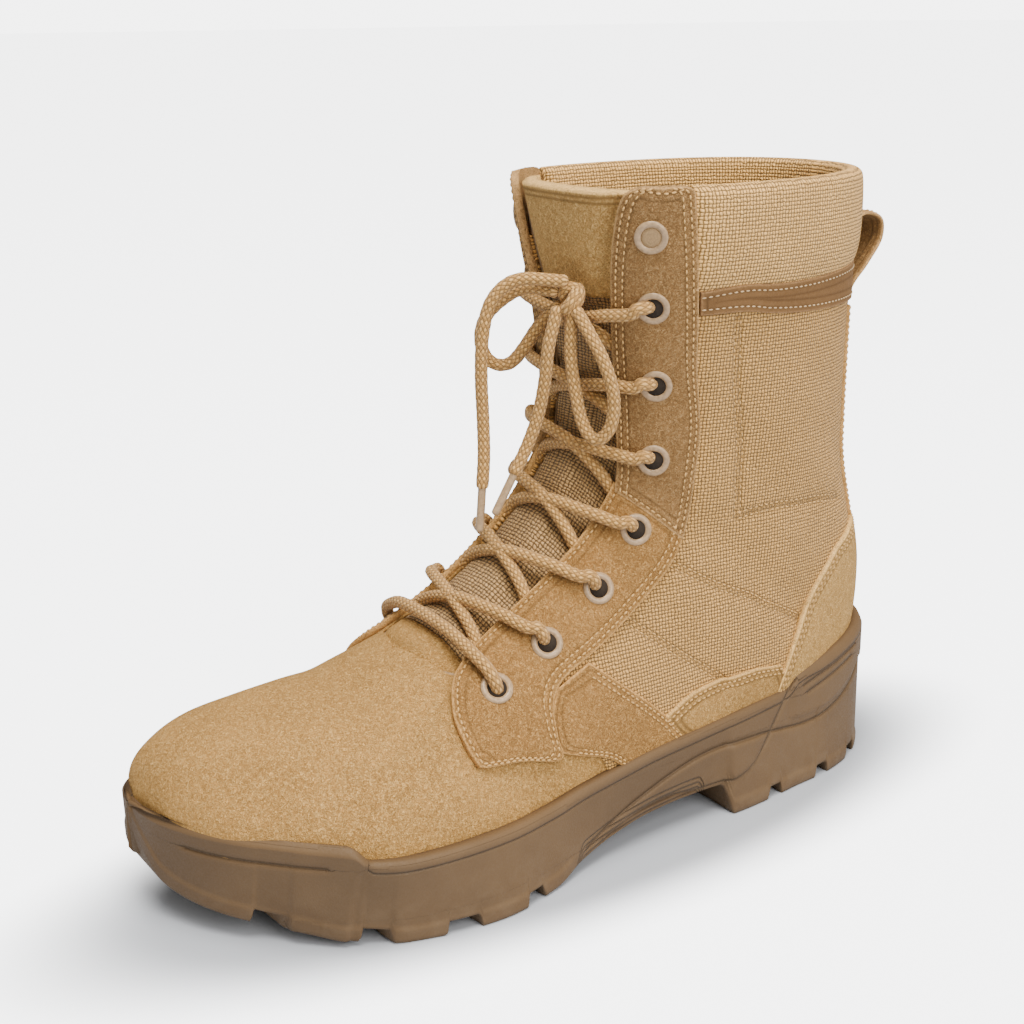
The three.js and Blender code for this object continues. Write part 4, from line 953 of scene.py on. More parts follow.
@dataclass(frozen=True)
class SuedeFinish:
    """Napped split leather: curled fibres, brushed patches, light cut edges, painted shade in the stitch
    troughs.
    """

    name: str
    base: Colour
    light: Colour
    rows: tuple[float, float] = (2.3, 4.9)
    edged: bool = True
    nap_depth: float = 0.00042
    contrast: float = 1.0
    # Depth of the painted shade and half width in millimetres of the troughs under the stitches.
    trough: tuple[float, float] = (0.55, 0.5)

    def material(self, shared: Finishes) -> Material:
        """Builds the material from the shared groups."""
        material, graph, shader = blank_material(self.name, 0.95, 0.18)
        shader.inputs["Sheen Weight"].default_value = 0.18
        shader.inputs["Sheen Roughness"].default_value = 0.45
        shader.inputs["Sheen Tint"].default_value = (*self.light, 1.0)
        nap = graph.group(shared.nap, Vector=graph.place())
        colour = graph.mottled(nap["Patch"], self.base, 0.9, 1.1, 0.36, 0.66)
        colour = graph.mix(graph.span(nap["Clump"], 0.42, 0.68, 0.0, 0.8 * self.contrast), colour, self.light)
        shade = graph.span(nap["Fibre"], 0.32, 0.78, 0.62 * self.contrast, 0.0)
        colour = graph.mix(shade, colour, tinted(self.base, 0.45))
        shade = graph.span(nap["Clump"], 0.26, 0.45, 0.4 * self.contrast, 0.0)
        colour = graph.mix(shade, colour, tinted(self.base, 0.5))
        height = graph.math("ADD", nap["Fibre"], graph.math("MULTIPLY", nap["Clump"], 1.6))
        if self.edged:
            seam = graph.group(shared.seam, Edge=graph.attribute("edge"), First=self.rows[0],
                               Second=self.rows[1], Width=self.trough[1])
            # Painted shade: the stitch troughs are darkened towards a darker copy of the base.
            dark = graph.math("MULTIPLY", seam["Trough"], self.trough[0])
            colour = graph.mix(dark, colour, tinted(self.base, 0.4))
            fuzz = graph.math("MULTIPLY", seam["Cut"], graph.span(nap["Clump"], 0.3, 0.6, 0.35, 1.0))
            colour = graph.mix(fuzz, colour, tinted(self.light, 1.25))
            height = graph.math("SUBTRACT", height, graph.math("MULTIPLY", seam["Trough"], 0.8))
        graph.feed(shader.inputs["Base Color"], colour)
        graph.feed(shader.inputs["Normal"], graph.bump(height, 0.9, self.nap_depth))
        return material


@dataclass(frozen=True)
class CanvasFinish:
    """Coarse woven nylon: plain weave on the cloth's own lengths, with sewn-down troughs; the gaps between
    yarns and the troughs get painted shade.
    """

    name: str
    base: Colour
    light: Colour
    yarn: float = 1.35
    seamed: bool = True

    def material(self, shared: Finishes) -> Material:
        """Builds the material from the shared groups."""
        material, graph, shader = blank_material(self.name, 0.82, 0.3)
        shader.inputs["Sheen Weight"].default_value = 0.08
        weave = graph.group(shared.weave, Cloth=graph.attribute("cloth", vector=True), Yarn=self.yarn)
        place = graph.place()
        broad = graph.noise(place, 45.0, 3.0, 0.4)
        yarn_tone = graph.noise(graph.attribute("cloth", vector=True), 1.1, 2.0)
        colour = graph.mottled(broad, self.base, 0.93, 1.06)
        colour = graph.mix(graph.span(yarn_tone, 0.4, 0.7, 0.0, 0.55), colour, self.light)
        colour = graph.mix(graph.math("MULTIPLY", weave["Over"], 0.3), colour, tinted(self.base, 0.62))
        # Painted shade in the gaps between the yarns.
        colour = graph.mix(graph.math("MULTIPLY", weave["GapShade"], 0.95), colour, tinted(self.base, 0.24))
        height = weave["Height"]
        if self.seamed:
            away = graph.math("ABSOLUTE", graph.math("SUBTRACT", graph.attribute("seam"), SEAM_HALF))
            seam = graph.span(away, 0.15, 0.95, 1.0, 0.0)
            # Painted shade along the seams' troughs.
            colour = graph.mix(graph.math("MULTIPLY", seam, 0.7), colour, tinted(self.base, 0.36))
            height = graph.math("SUBTRACT", height, graph.math("MULTIPLY", seam, 0.8))
        graph.feed(shader.inputs["Base Color"], colour)
        graph.feed(shader.inputs["Normal"], graph.bump(height, 1.0, 0.0006))
        return material


@dataclass(frozen=True)
class RubberFinish:
    """Moulded rubber: a fine matte skin, fine grooves along the side darkened with painted shade, dust low
    down.
    """

    name: str
    base: Colour
    dust: Colour
    lines: tuple[str, ...]
    arch_ribs: tuple[float, ...] = (1.7, 3.6, 5.6, 7.8)

    @staticmethod
    def line(graph: Graph, name: str, place: float, width: float) -> Socket:
        """1 on a line of the side and 0 away from it: a bell curve of a distance stored on the points."""
        away = graph.math("DIVIDE", graph.math("SUBTRACT", graph.attribute(name), place), width)
        return graph.bell(away)

    def material(self, _: Finishes) -> Material:
        """Builds the material."""
        material, graph, shader = blank_material(self.name, 0.62, 0.35)
        place = graph.place()
        broad = graph.noise(place, 30.0, 3.0)
        speck = graph.noise(place, 1500.0, 3.0, 0.2)
        colour = graph.mottled(broad, self.base, 0.92, 1.08)
        low = graph.span(graph.split(place)[2], 0.0, 0.03, 0.28, 0.04)
        dust = graph.math("MULTIPLY", low, graph.span(graph.noise(place, 140.0, 4.0, 0.6), 0.35, 0.75))
        colour = graph.mix(dust, colour, self.dust)
        lines = [self.line(graph, name, 0.0, 0.55) for name in self.lines]
        lines += [self.line(graph, "over_tread", rise, 0.42) for rise in self.arch_ribs]
        lines.append(self.line(graph, "under_rim", 2.4, 0.4))
        groove_shade = lines[0]
        for line in lines[1:]:
            groove_shade = graph.math("MAXIMUM", groove_shade, line)
        # Painted shade in the side's grooves and the arch's ribs.
        colour = graph.mix(graph.math("MULTIPLY", groove_shade, 0.42), colour, tinted(self.base, 0.35))
        height = graph.math("SUBTRACT", graph.math("MULTIPLY", speck, 0.1), groove_shade)
        graph.feed(shader.inputs["Base Color"], colour)
        graph.feed(shader.inputs["Roughness"], graph.span(speck, 0.3, 0.7, 0.55, 0.72))
        graph.feed(shader.inputs["Normal"], graph.bump(height, 0.9, 0.0008))
        return material


@dataclass(frozen=True)
class LaceFinish:
    """Round braided cord: slanting strands with light flecks on the cord's own length and girth, painted
    shade between them.
    """

    name: str
    base: Colour
    fleck: Colour

    def material(self, shared: Finishes) -> Material:
        """Builds the material from the shared groups."""
        material, graph, shader = blank_material(self.name, 0.78, 0.3)
        shader.inputs["Sheen Weight"].default_value = 0.12
        braid = graph.group(shared.braid, Cloth=graph.attribute("cloth", vector=True))
        fine = graph.noise(graph.place(), 1500.0, 2.0)
        colour = graph.mottled(fine, self.base, 0.8, 1.15)
        over = graph.math("MULTIPLY", braid["Over"], graph.span(braid["Height"], 0.45, 0.9))
        colour = graph.mix(graph.math("MULTIPLY", over, 0.75), colour, self.fleck)
        # Painted shade in the low places between the strands.
        colour = graph.mix(graph.span(braid["Height"], 0.1, 0.55, 0.6, 0.0), colour, tinted(self.base, 0.4))
        graph.feed(shader.inputs["Base Color"], colour)
        graph.feed(shader.inputs["Normal"], graph.bump(braid["Height"], 0.9, 0.0006))
        return material


@dataclass(frozen=True)
class PlainFinish:
    """A small piece's finish: one colour with fine mottling, for threads, coated rings, lining and the
    painted shade in the eyelets' holes.
    """

    name: str
    base: Colour
    roughness: float
    specular: float = 0.4
    grain: float = 900.0
    depth: float = 0.00008

    def material(self, _: Finishes) -> Material:
        """Builds the material."""
        material, graph, shader = blank_material(self.name, self.roughness, self.specular)
        grain = graph.noise(graph.place(), self.grain, 3.0, 0.3)
        colour = graph.mottled(grain, self.base, 0.82, 1.14, low=0.3)
        graph.feed(shader.inputs["Base Color"], colour)
        graph.feed(shader.inputs["Normal"], graph.bump(grain, 0.6, self.depth))
        return material


# Outlines of the suede panels on the lateral side: station and angle in degrees. The lower eyestay's is that
# of the part's source; the others lie nearer to the boot's look than the source's plainer ones.
LOWER_EYESTAY: tuple[Rows, Rows] = (
    [(0.684, 31.2), (0.638, 30.2), (0.594, 28.6), (0.544, 26.9), (0.494, 26.4), (0.46, 29), (0.441, 34),
     (0.4255, 44.5), (0.422, 57), (0.425, 66.3)],
    [(0.694, 62.5), (0.648, 61), (0.608, 59.7), (0.565, 59.5), (0.53, 59.5), (0.512, 64), (0.503, 73),
     (0.497, 80.5), (0.465, 73.5), (0.431, 68)],
)
UPPER_EYESTAY: tuple[Rows, Rows] = (
    [(0.676, 33), (0.69, 31.5), (0.73, 28.5), (0.8, 24.5), (0.88, 24.5), (0.94, 27), (0.985, 31), (1.005, 36),
     (1.014, 42)],
    [(0.684, 62), (0.702, 62.5), (0.74, 63.5), (0.8, 65.5), (0.88, 66.5), (0.94, 66.3), (0.985, 65.5),
     (1.008, 64.5), (1.014, 60)],
)
SIDE_PANEL: tuple[Rows, Rows] = (
    [(0.556, 61), (0.569, 73), (0.581, 83.3), (0.589, 92), (0.597, 106), (0.602, 118)],
    [(0.522, 60.5), (0.504, 68), (0.498, 77), (0.512, 82.7), (0.529, 87.3), (0.54, 91.5), (0.547, 99),
     (0.556, 118)],
)
FOXING: tuple[Rows, Rows] = (
    [(0.582, 87.6), (0.594, 87.2), (0.607, 87.3), (0.622, 88.7), (0.638, 90.5), (0.657, 95), (0.674, 104)],
    [(0.603, 117), (0.61, 121), (0.62, 124), (0.63, 126), (0.64, 127), (0.652, 128), (0.668, 123)],
)
COUNTER: tuple[Rows, Rows] = (
    [(0.652, 118), (0.656, 124), (0.664, 132), (0.674, 140), (0.684, 148), (0.694, 157), (0.702, 167),
     (0.706, 180)],
    [(0.655, 113), (0.668, 108), (0.692, 105.3), (0.734, 109), (0.76, 114.3), (0.787, 124.5), (0.812, 146),
     (0.824, 180)],
)
TAPE_PATH: Rows = [(67.6, 0.893), (92, 0.912), (138, 0.931), (180, 0.937)]
TAPE_WIDTH = 0.021
# The backstay reaches from under the counter's top edge to the tape, over this many degrees to each side.
BACKSTAY_STATIONS, BACKSTAY_SPREAD = (0.804, 0.88, 0.929), 33.0


def lowest_angle(side: Side, station: Array) -> Array:
    """Angle at which the upper reaches its seat in the sole, or the keel's line where it never does."""
    angles = np.linspace(math.radians(60), math.pi, 240)
    points = FORM.point(station[:, None], side.value * angles[None])
    above = points[..., 2] - FORM.seat_height(points[..., 1]) + 1.0
    below = above < 0
    first = np.where(below.any(1), below.argmax(1), len(angles) - 1)
    before = np.maximum(first - 1, 0)
    rows = np.arange(len(station))
    high, low = above[rows, before], above[rows, first]
    share = np.where(below.any(1), high / np.maximum(high - low, 1e-6), 1.0)
    return side.value * (angles[before] + (angles[first] - angles[before]) * np.clip(share, 0, 1))


# Seams of the canvas on the lateral side, each a double row: station and angle in degrees.
QUARTER_SEAMS: tuple[Rows, ...] = (
    [(0.9, 84), (0.838, 84), (0.781, 82), (0.745, 82)],
    [(0.745, 82), (0.762, 88), (0.777, 93), (0.802, 110), (0.817, 128)],
    [(0.661, 60), (0.672, 72.3), (0.684, 82.3), (0.698, 91.3), (0.714, 106)],
    [(0.602, 60), (0.612, 72), (0.622, 82.3), (0.634, 91)],
)


def seam_lines(side: Side) -> list[Array]:
    """The canvas seams of a side as rows of station and angle."""
    lines = []
    for rows in QUARTER_SEAMS:
        s, degrees = spline(np.array(rows, float), np.linspace(0, 1, 80)).T
        lines.append(np.column_stack([s, FORM.side_angle(side, s, degrees)]))
    return lines


@dataclass
class Upper:
    """The hollow upper's skins: suede vamp, canvas quarters and the lining inside them."""

    suede: Material
    canvas: Material
    lining: Material
    vamp_stop: float = 0.56
    quarter_start: float = 0.53
    quarter_stop: float = 0.935
    # How far the vamp swells over the sole's rim at the toe; where the outer skins end and the lining starts.
    toe_fullness: float = 2.2
    skin_depth: float = 1.2
    lining_depth: float = 1.3
    # Depth and half width of the trough along a canvas seam, and height and reach of the puff between seams.
    seam: tuple[float, float] = (0.5, 2.2)
    puff: tuple[float, float] = (0.7, 9.0)

    @staticmethod
    def _skin(station: Array, first: Array, last: Array, columns: int) -> tuple[Array, Array]:
        """Stations and angles of a grid from a first to a last angle."""
        v = np.linspace(0, 1, columns)[None]
        angle = first[:, None] + (last - first)[:, None] * v
        return np.repeat(station[:, None], columns, 1), angle

    def vamp(self) -> Surface:
        """Both halves of the vamp from the ridge, or the throat's edge, down into the sole."""
        halves = []
        for side in Side:
            s = np.concatenate([np.linspace(0, 0.04, 12)[:-1], np.linspace(0.04, self.vamp_stop, 150)])
            first = FORM.throat_angle(side, s) * smoothstep(*THROAT_OPENS, s)
            station, angle = self._skin(s, first, lowest_angle(side, s), 90)
            flat = FORM.point(station, angle)
            rim = SectionTable(SOLE_SECTIONS)(flat[..., 1] / SOLE_LENGTH)[..., 4] * HEEL_SEAT
            fuller = np.exp(-(((flat[..., 2] - rim - 2.0) / 11.0) ** 2)) * smoothstep(0.46, 0.12, station)
            top = FORM.over(station, angle, self.toe_fullness * fuller)
            closed = int((s < THROAT_OPENS[0]).sum()) - 1
            under = FORM.over(station, angle, -self.skin_depth)
            halves.append(shell(top, under, {"edge": np.full(station.shape, FAR)}, open_rows=closed))
        return joined(halves)

    def quarter(self, side: Side, seams: list[Array]) -> Surface:
        """One canvas side from the throat's edge to the back line, puffed between its seams."""
        s = np.linspace(self.quarter_start, self.quarter_stop, 180)
        last = lowest_angle(side, s)
        station, angle = self._skin(s, FORM.throat_angle(side, s) * 1.04, last, 130)
        flat = FORM.point(station, angle)
        away = np.full(station.shape, FAR)
        for seam in seams:
            away = np.minimum(away, polyline_distance(flat, seam))
        (depth, width), (rise, reach) = self.seam, self.puff
        height = rise * (1 - np.exp(-((away / reach) ** 2))) - depth * np.exp(-((away / width) ** 2))
        back = np.abs(angle) > math.radians(176)
        height = np.where(back, np.minimum(height, 0.4), height)
        top = FORM.over(station, angle, height)
        return shell(top, FORM.over(station, angle, -self.skin_depth), {"seam": away}, side_cloth(top))

    def inside(self) -> Surface:
        """Lining against the wall, open at the throat and the collar."""
        halves = []
        for side in Side:
            s = np.linspace(0.004, 0.985, 90)
            first = FORM.throat_angle(side, s) * smoothstep(*THROAT_OPENS, s)
            station, angle = self._skin(s, first, lowest_angle(side, s), 44)
            near = FORM.over(station, angle, -self.lining_depth)
            halves.append(shell(near, FORM.over(station, angle, -WALL)))
        return joined(halves)

    def build(self, threads: ThreadBank) -> None:
        """Makes the skins and sews the quarters' double rows."""
        add_piece("vamp_skin", self.vamp(), self.suede, replaced=("upper",))
        for side in Side:
            lines = seam_lines(side)
            seams = [FORM.point(*line.T) for line in lines]
            add_piece(f"quarter_{side.label}", self.quarter(side, seams), self.canvas,
                      replaced=("upper",))
            for line in lines:
                path, normal = FORM.over(*line.T, -0.32), FORM.normal(*line.T)
                across = unit(np.cross(normal, np.gradient(path, axis=0)))
                for offset in (-SEAM_HALF, SEAM_HALF):
                    threads.sew_path(path + across * offset, normal)
        add_piece("lining_skin", self.inside(), self.lining, replaced=("upper",))


@dataclass
class Overlays:
    """Suede panels over the upper with their rows of stitching."""

    suede: Material
    tape: Material
    threads: ThreadBank
    white: ThreadBank
    finishes: dict[str, Material] = field(default_factory=dict)
    # How far a panel that laps over others lies above their top, in millimetres.
    LIFT = {"eyestay_lower": 0.7, "eyestay_upper": 1.3, "heel_counter": 0.5}
    # Rows of stitches by kind of panel: border, inset in millimetres, share of the border at start and stop.
    STITCHING = {
        "eyestay_lower": (("outer", 2.1, 0.0, 0.98), ("outer", 4.5, 0.0, 0.97), ("inner", 2.1, 0.03, 0.97),
                          ("start", 2.1, 0.1, 0.9)),
        "eyestay_upper": (("outer", 2.1, 0.02, 0.99), ("outer", 4.5, 0.03, 0.97), ("inner", 2.1, 0.02, 0.99),
                          ("inner", 4.5, 0.03, 0.97), ("start", 2.1, 0.1, 0.9), ("end", 2.1, 0.1, 0.9)),
        "side_panel": (("inner", 2.1, 0.08, 1.0), ("inner", 4.5, 0.08, 1.0), ("outer", 2.1, 0.4, 1.0),
                       ("outer", 4.5, 0.4, 1.0)),
        "foxing": (("inner", 2.1, 0.0, 1.0), ("inner", 4.5, 0.0, 1.0)),
        "heel_counter": (("outer", 2.1, 0.0, 1.0), ("outer", 4.5, 0.0, 1.0)),
        "backstay": (("inner", 2.1, 0.0, 1.0), ("inner", 4.5, 0.0, 1.0), ("outer", 2.1, 0.0, 1.0),
                     ("outer", 4.5, 0.0, 1.0)),
    }

    def panels(self) -> dict[str, Panel]:
        """Every panel by the CAD node that it stands for."""
        found: dict[str, Panel] = {}
        kinds = {"eyestay_lower": LOWER_EYESTAY, "eyestay_upper": UPPER_EYESTAY, "side_panel": SIDE_PANEL,
                 "foxing": FOXING}
        for side in Side:
            found |= {f"{kind}_{side.label}": Panel(*outline, side) for kind, outline in kinds.items()}
        found["heel_counter"] = Panel(*COUNTER, around_back=True)
        found["backstay"] = Panel(*([(s, 180 + spread) for s in BACKSTAY_STATIONS]
                                    for spread in (-BACKSTAY_SPREAD, BACKSTAY_SPREAD)))
        return found

    def build(self) -> None:
        """Makes the panels and the tape round the collar."""
        for name, panel in self.panels().items():
            kind = name.removesuffix("_lateral").removesuffix("_medial")
            panel.high = TOP + self.LIFT.get(kind, 0.0)
            suede = self.finishes.get(kind, self.suede)
            add_piece(name + "_sheet", panel.surface(puff=0.3), suede, replaced=(name,))
            for edge, inset, start, stop in self.STITCHING[kind]:
                self.threads.sew(panel.row(edge, inset, start, stop), panel.high + 0.1)
        table = SectionTable(TAPE_PATH)
        degrees = np.linspace(67.6, 180, 30)
        low = [(float(s), float(d)) for s, d in zip(table(degrees)[..., 0], degrees)]
        high = [(s + TAPE_WIDTH, d) for s, d in low]
        tape = Panel(low, high, around_back=True, high=TOP + 0.2)
        add_piece("collar_tape_sheet", tape.surface(), self.tape, replaced=("collar_tape",))
        for edge in ("inner", "outer"):
            self.white.sew(tape.row(edge, 2.2), tape.high + 0.02)


# Station and height over the form round the collar roll's section, and its lowest and highest station.
COLLAR_SECTION: Rows = [
    (0.906, 0.3), (0.909, 2.0), (0.925, 3.6), (0.95, 4.1), (0.975, 3.9), (0.995, 3.2), (1.008, 1.6),
    (1.012, -0.6), (1.008, -3.0), (0.992, -4.8), (0.965, -5.6), (0.935, -5.0), (0.918, -3.6), (0.914, -2.5),
    (0.93, -1.2), (0.95, -0.6), (0.93, 0.0),
]
COLLAR_LOW, COLLAR_HIGH = 0.906, 1.012


@dataclass
class Collar:
    """Padded canvas collar: a closed roll from over the tape, over the top and down inside."""

    canvas: Material
    start: float = math.radians(64.0)
    stop: float = math.radians(296.0)
    around: int = 150
    across: int = 36
    # Angle over which each end closes, and the share of the section that counts as its hem.
    closing: float = 0.12
    hem: float = 0.14
    # The furthest that the padding moves the cover, in millimetres, and the frames it swells for.
    swell_most: float = 2.0
    swell_frames: int = 20
    fill: float = 0.8

    def surface(self) -> Surface:
        """The roll along the collar; its start rises with the tape and its ends close."""
        table = SectionTable(TAPE_PATH)
        closed = np.array(COLLAR_SECTION + COLLAR_SECTION[:1])
        rows = spline(closed, np.linspace(0, 1, self.across, endpoint=False))
        angle = np.linspace(self.start, self.stop, self.around)
        fold = np.degrees(np.minimum(angle, 2 * math.pi - angle))
        base = table(fold)[..., 0] + TAPE_WIDTH * 0.93
        share = (rows[None, :, 0] - COLLAR_LOW) / (COLLAR_HIGH - COLLAR_LOW)
        station = base[:, None] + share * (COLLAR_HIGH - base[:, None])
        end = np.clip(np.minimum(angle - self.start, self.stop - angle) / self.closing, 0, 1)
        fat = 0.25 + 0.75 * np.sqrt(end * (2 - end))
        height = rows[None, :, 1] * fat[:, None]
        points = FORM.over(station, angle[:, None], height)
        caps = [points[row].mean(0)[None].repeat(self.across, 0)[None] for row in (0, -1)]
        full = np.concatenate([caps[0], points, caps[1]])
        held = np.ones((len(full), self.across))
        held[1:-1] = (share < self.hem) | (end[:, None] < 0.5)
        cloth = side_cloth(full).reshape(-1, 2)
        faces = grid_faces(len(full), self.across, wrap=True)
        return Surface(full.reshape(-1, 3), faces, {"hem": held.ravel()}, cloth)

    def swell(self, roll: bpy.types.Object) -> None:
        """Presses the cover out from inside as a cloth held at its hems, and keeps the capped movement.

        Args:
            roll: The cover, a closed mesh with the attribute "hem".
        """
        scene, mesh = bpy.context.scene, roll.data
        count = len(mesh.vertices)
        rest, moved = np.empty(count * 3, np.float32), np.empty(count * 3, np.float32)
        held = np.empty(count, np.float32)
        mesh.vertices.foreach_get("co", rest)
        mesh.attributes["hem"].data.foreach_get("value", held)
        roll.vertex_groups.new(name="hem").add(np.flatnonzero(held > 0.5).tolist(), 1.0, "REPLACE")
        padding = roll.modifiers.new("padding", "CLOTH")
        padding.settings.quality = 6
        padding.settings.tension_stiffness = padding.settings.compression_stiffness = 12.0
        padding.settings.bending_stiffness = 0.6
        padding.settings.use_pressure = True
        padding.settings.uniform_pressure_force = 4.0
        padding.settings.vertex_group_mass = "hem"
        padding.settings.effector_weights.gravity = 0.0
        padding.point_cache.frame_start, padding.point_cache.frame_end = 1, self.swell_frames
        for number in range(1, self.swell_frames + 1):
            scene.frame_set(number)
        shaped = roll.evaluated_get(bpy.context.evaluated_depsgraph_get())
        shaped.data.vertices.foreach_get("co", moved)
        shift = (moved - rest).reshape(-1, 3)
        size = np.linalg.norm(shift, axis=1, keepdims=True)
        shift *= np.minimum(1.0, self.swell_most * MM / np.maximum(size, 1e-9))
        LOG.info("collar swelled by %.2f mm on average", float(np.minimum(size / MM, self.swell_most).mean()))
        roll.modifiers.remove(padding)
        scene.frame_set(1)
        mesh.vertices.foreach_set("co", rest + shift.ravel())
        mesh.update()

    def build(self) -> bpy.types.Object:
        """Makes the roll and swells it."""
        roll = add_piece("collar_roll", self.surface(), self.canvas, replaced=("collar_pad",))
        self.swell(roll)
        smooth = roll.modifiers.new("smooth", "SUBSURF")
        smooth.levels = smooth.render_levels = 1
        return roll


@dataclass
class Tongue:
    """Sheet under the lacing: the vamp's suede at its root, then canvas, and suede at the top."""

    suede: Material
    canvas: Material
    vamp: Material
    root: float = 0.468
    change: float = 0.876
    stop: float = 0.999
    # How far the canvas runs on under the other two, as a share of the stations.
    lap: float = 0.004
    drop_under_vamp: float = 3.2

    @staticmethod
    def pressed(station: Array, across: Array) -> Array:
        """Ridges between the strands: bell-shaped dents along each crossing's two lines."""
        phase = np.interp(station, EYELET_STATIONS, np.arange(len(EYELET_STATIONS)))
        share = phase - np.floor(phase)
        dents = [np.exp(-(((share - 0.5 - sign * 0.24 * across) / 0.1) ** 2)) for sign in (-1, 1)]
        return 0.6 - 1.5 * np.maximum(*dents) * (station < EYELET_STATIONS[-1])

    def sheet(self, low: float, high: float, lift: float) -> Surface:
        """The tongue between two stations, its middle raised between the facings."""
        s = np.linspace(low, high, max(20, int((high - low) * 300)))
        v = np.linspace(-1, 1, 81)
        spread = np.radians(np.where(s > 0.8, TONGUE_SPREAD - 6 * (s - 0.8) / 0.196, TONGUE_SPREAD))
        angle = v[None] * spread[:, None]
        station = np.repeat(s[:, None], len(v), 1)
        edge = np.minimum(FORM.throat_angle(Side.LATERAL, s), -FORM.throat_angle(Side.MEDIAL, s))
        middle = smoothstep(1.05, 0.55, np.abs(angle) / edge[:, None])
        under_vamp = self.drop_under_vamp * smoothstep(THROAT_START + 0.006, THROAT_START - 0.016, station)
        top = -WALL - GAP + lift + middle * (2.0 + self.pressed(station, angle / edge[:, None])) - under_vamp
        outer = FORM.over(station, angle, top)
        cloth = np.stack([np.degrees(angle) * 0.75, station * 400], -1)
        inner = FORM.over(station, angle, -WALL - GAP - TONGUE_THICKNESS - under_vamp * 0.6)
        edge_away = np.minimum((1 - np.abs(v))[None] * np.degrees(spread)[:, None] * 0.75,
                               (high - station) * 400)
        return shell(outer, inner, {"edge": edge_away, "seam": np.full(station.shape, FAR)}, cloth)

    def build(self) -> None:
        """Makes the three parts."""
        for name, low, high, lift, material, slot in (
            ("root", TONGUE_START, self.root, 0.7, self.vamp, "suede"),
            ("lower", self.root - self.lap, self.change + self.lap, 0.0, self.canvas, "canvas"),
            ("upper", self.change, self.stop, 0.5, self.suede, "suede"),
        ):
            add_piece("tongue_" + name, self.sheet(low, high, lift), material, replaced=("tongue",))


# Columns: y share of the sole's length at the tread's edge and in its middle, width in millimetres.
TREAD_CHANNELS: Rows = [
    (-0.388, -0.43, 8), (-0.309, -0.34, 9), (-0.214, -0.25, 12), (-0.117, -0.15, 8), (0.246, 0.27, 7),
    (0.337, 0.36, 7), (0.411, 0.43, 7),
]
# Channels along the tread on both sides: shares of the sole's width and length.
BALL_CHANNEL: Rows = [(0.12, -0.4), (0.18, -0.3), (0.12, -0.2), (0.18, -0.1)]
HEEL_CHANNEL: Rows = [(0.105, 0.22), (0.105, 0.44)]
# Lines on the sole's side: y share of its length, z share of the heel seat.
HEEL_SWEEP: Rows = [(0.296, 1.62), (0.262, 1.15), (0.235, 0.78), (0.2, 0.54), (0.14, 0.5), (0.08, 0.58),
                    (0.03, 0.5), (-0.01, 0.35)]
ARCH_SWEEP: Rows = [(0.452, 1.38), (0.39, 1.05), (0.32, 0.92), (0.23, 1.03), (0.13, 1.02), (0.03, 0.7),
                    (-0.04, 0.35)]
HEEL_STROKE: Rows = [(0.315, 1.5), (0.36, 1.62), (0.425, 1.75)]
HEEL_STROKE_LOW: Rows = [(0.322, 1.38), (0.365, 1.5), (0.415, 1.61)]
TOE_GROOVE: Rows = [(-0.482, 1.13), (-0.44, 1.12), (-0.375, 1.1)]
SIDE_LINES = {"heel_sweep": HEEL_SWEEP, "arch_sweep": ARCH_SWEEP, "heel_stroke": HEEL_STROKE,
              "heel_stroke_low": HEEL_STROKE_LOW, "toe_groove": TOE_GROOVE}
BUMPER_END: Rows = [(-0.335, 1.3), (-0.345, 1.02), (-0.35, 0.6), (-0.352, 0.1)]


def width_at(side: Side, y: Array, level: Array, height: float, middle: Array) -> Array:
    """The x of the form's side at a level for each y; the middle where the form isn't reached.

    Args:
        side: Which side.
        y: Rising places along the boot.
        level: Height above the ground at each of them.
        height: Height over the form at which its side is taken.
        middle: The x to give in front of and behind the form.

    Returns:
        An x for each y.
    """
    s = np.linspace(0.0, 0.8, 500)
    angle = side.value * np.linspace(0.0, math.pi, 500)
    points = FORM.point(s[:, None], angle[None]) + FORM.normal(s[:, None], angle[None]) * height
    above = points[..., 2] > np.interp(points[..., 1], y, level)
    last = above.shape[1] - 1 - np.argmax(above[:, ::-1], axis=1)
    keep = above.any(1) & (last < above.shape[1] - 1)
    edge = points[np.arange(len(s)), last][keep]
    order = np.argsort(edge[:, 1])
    inside = np.interp(y, edge[order, 1], edge[order, 0])
    return np.where((y < edge[:, 1].min()) | (y > edge[:, 1].max()), middle, inside)


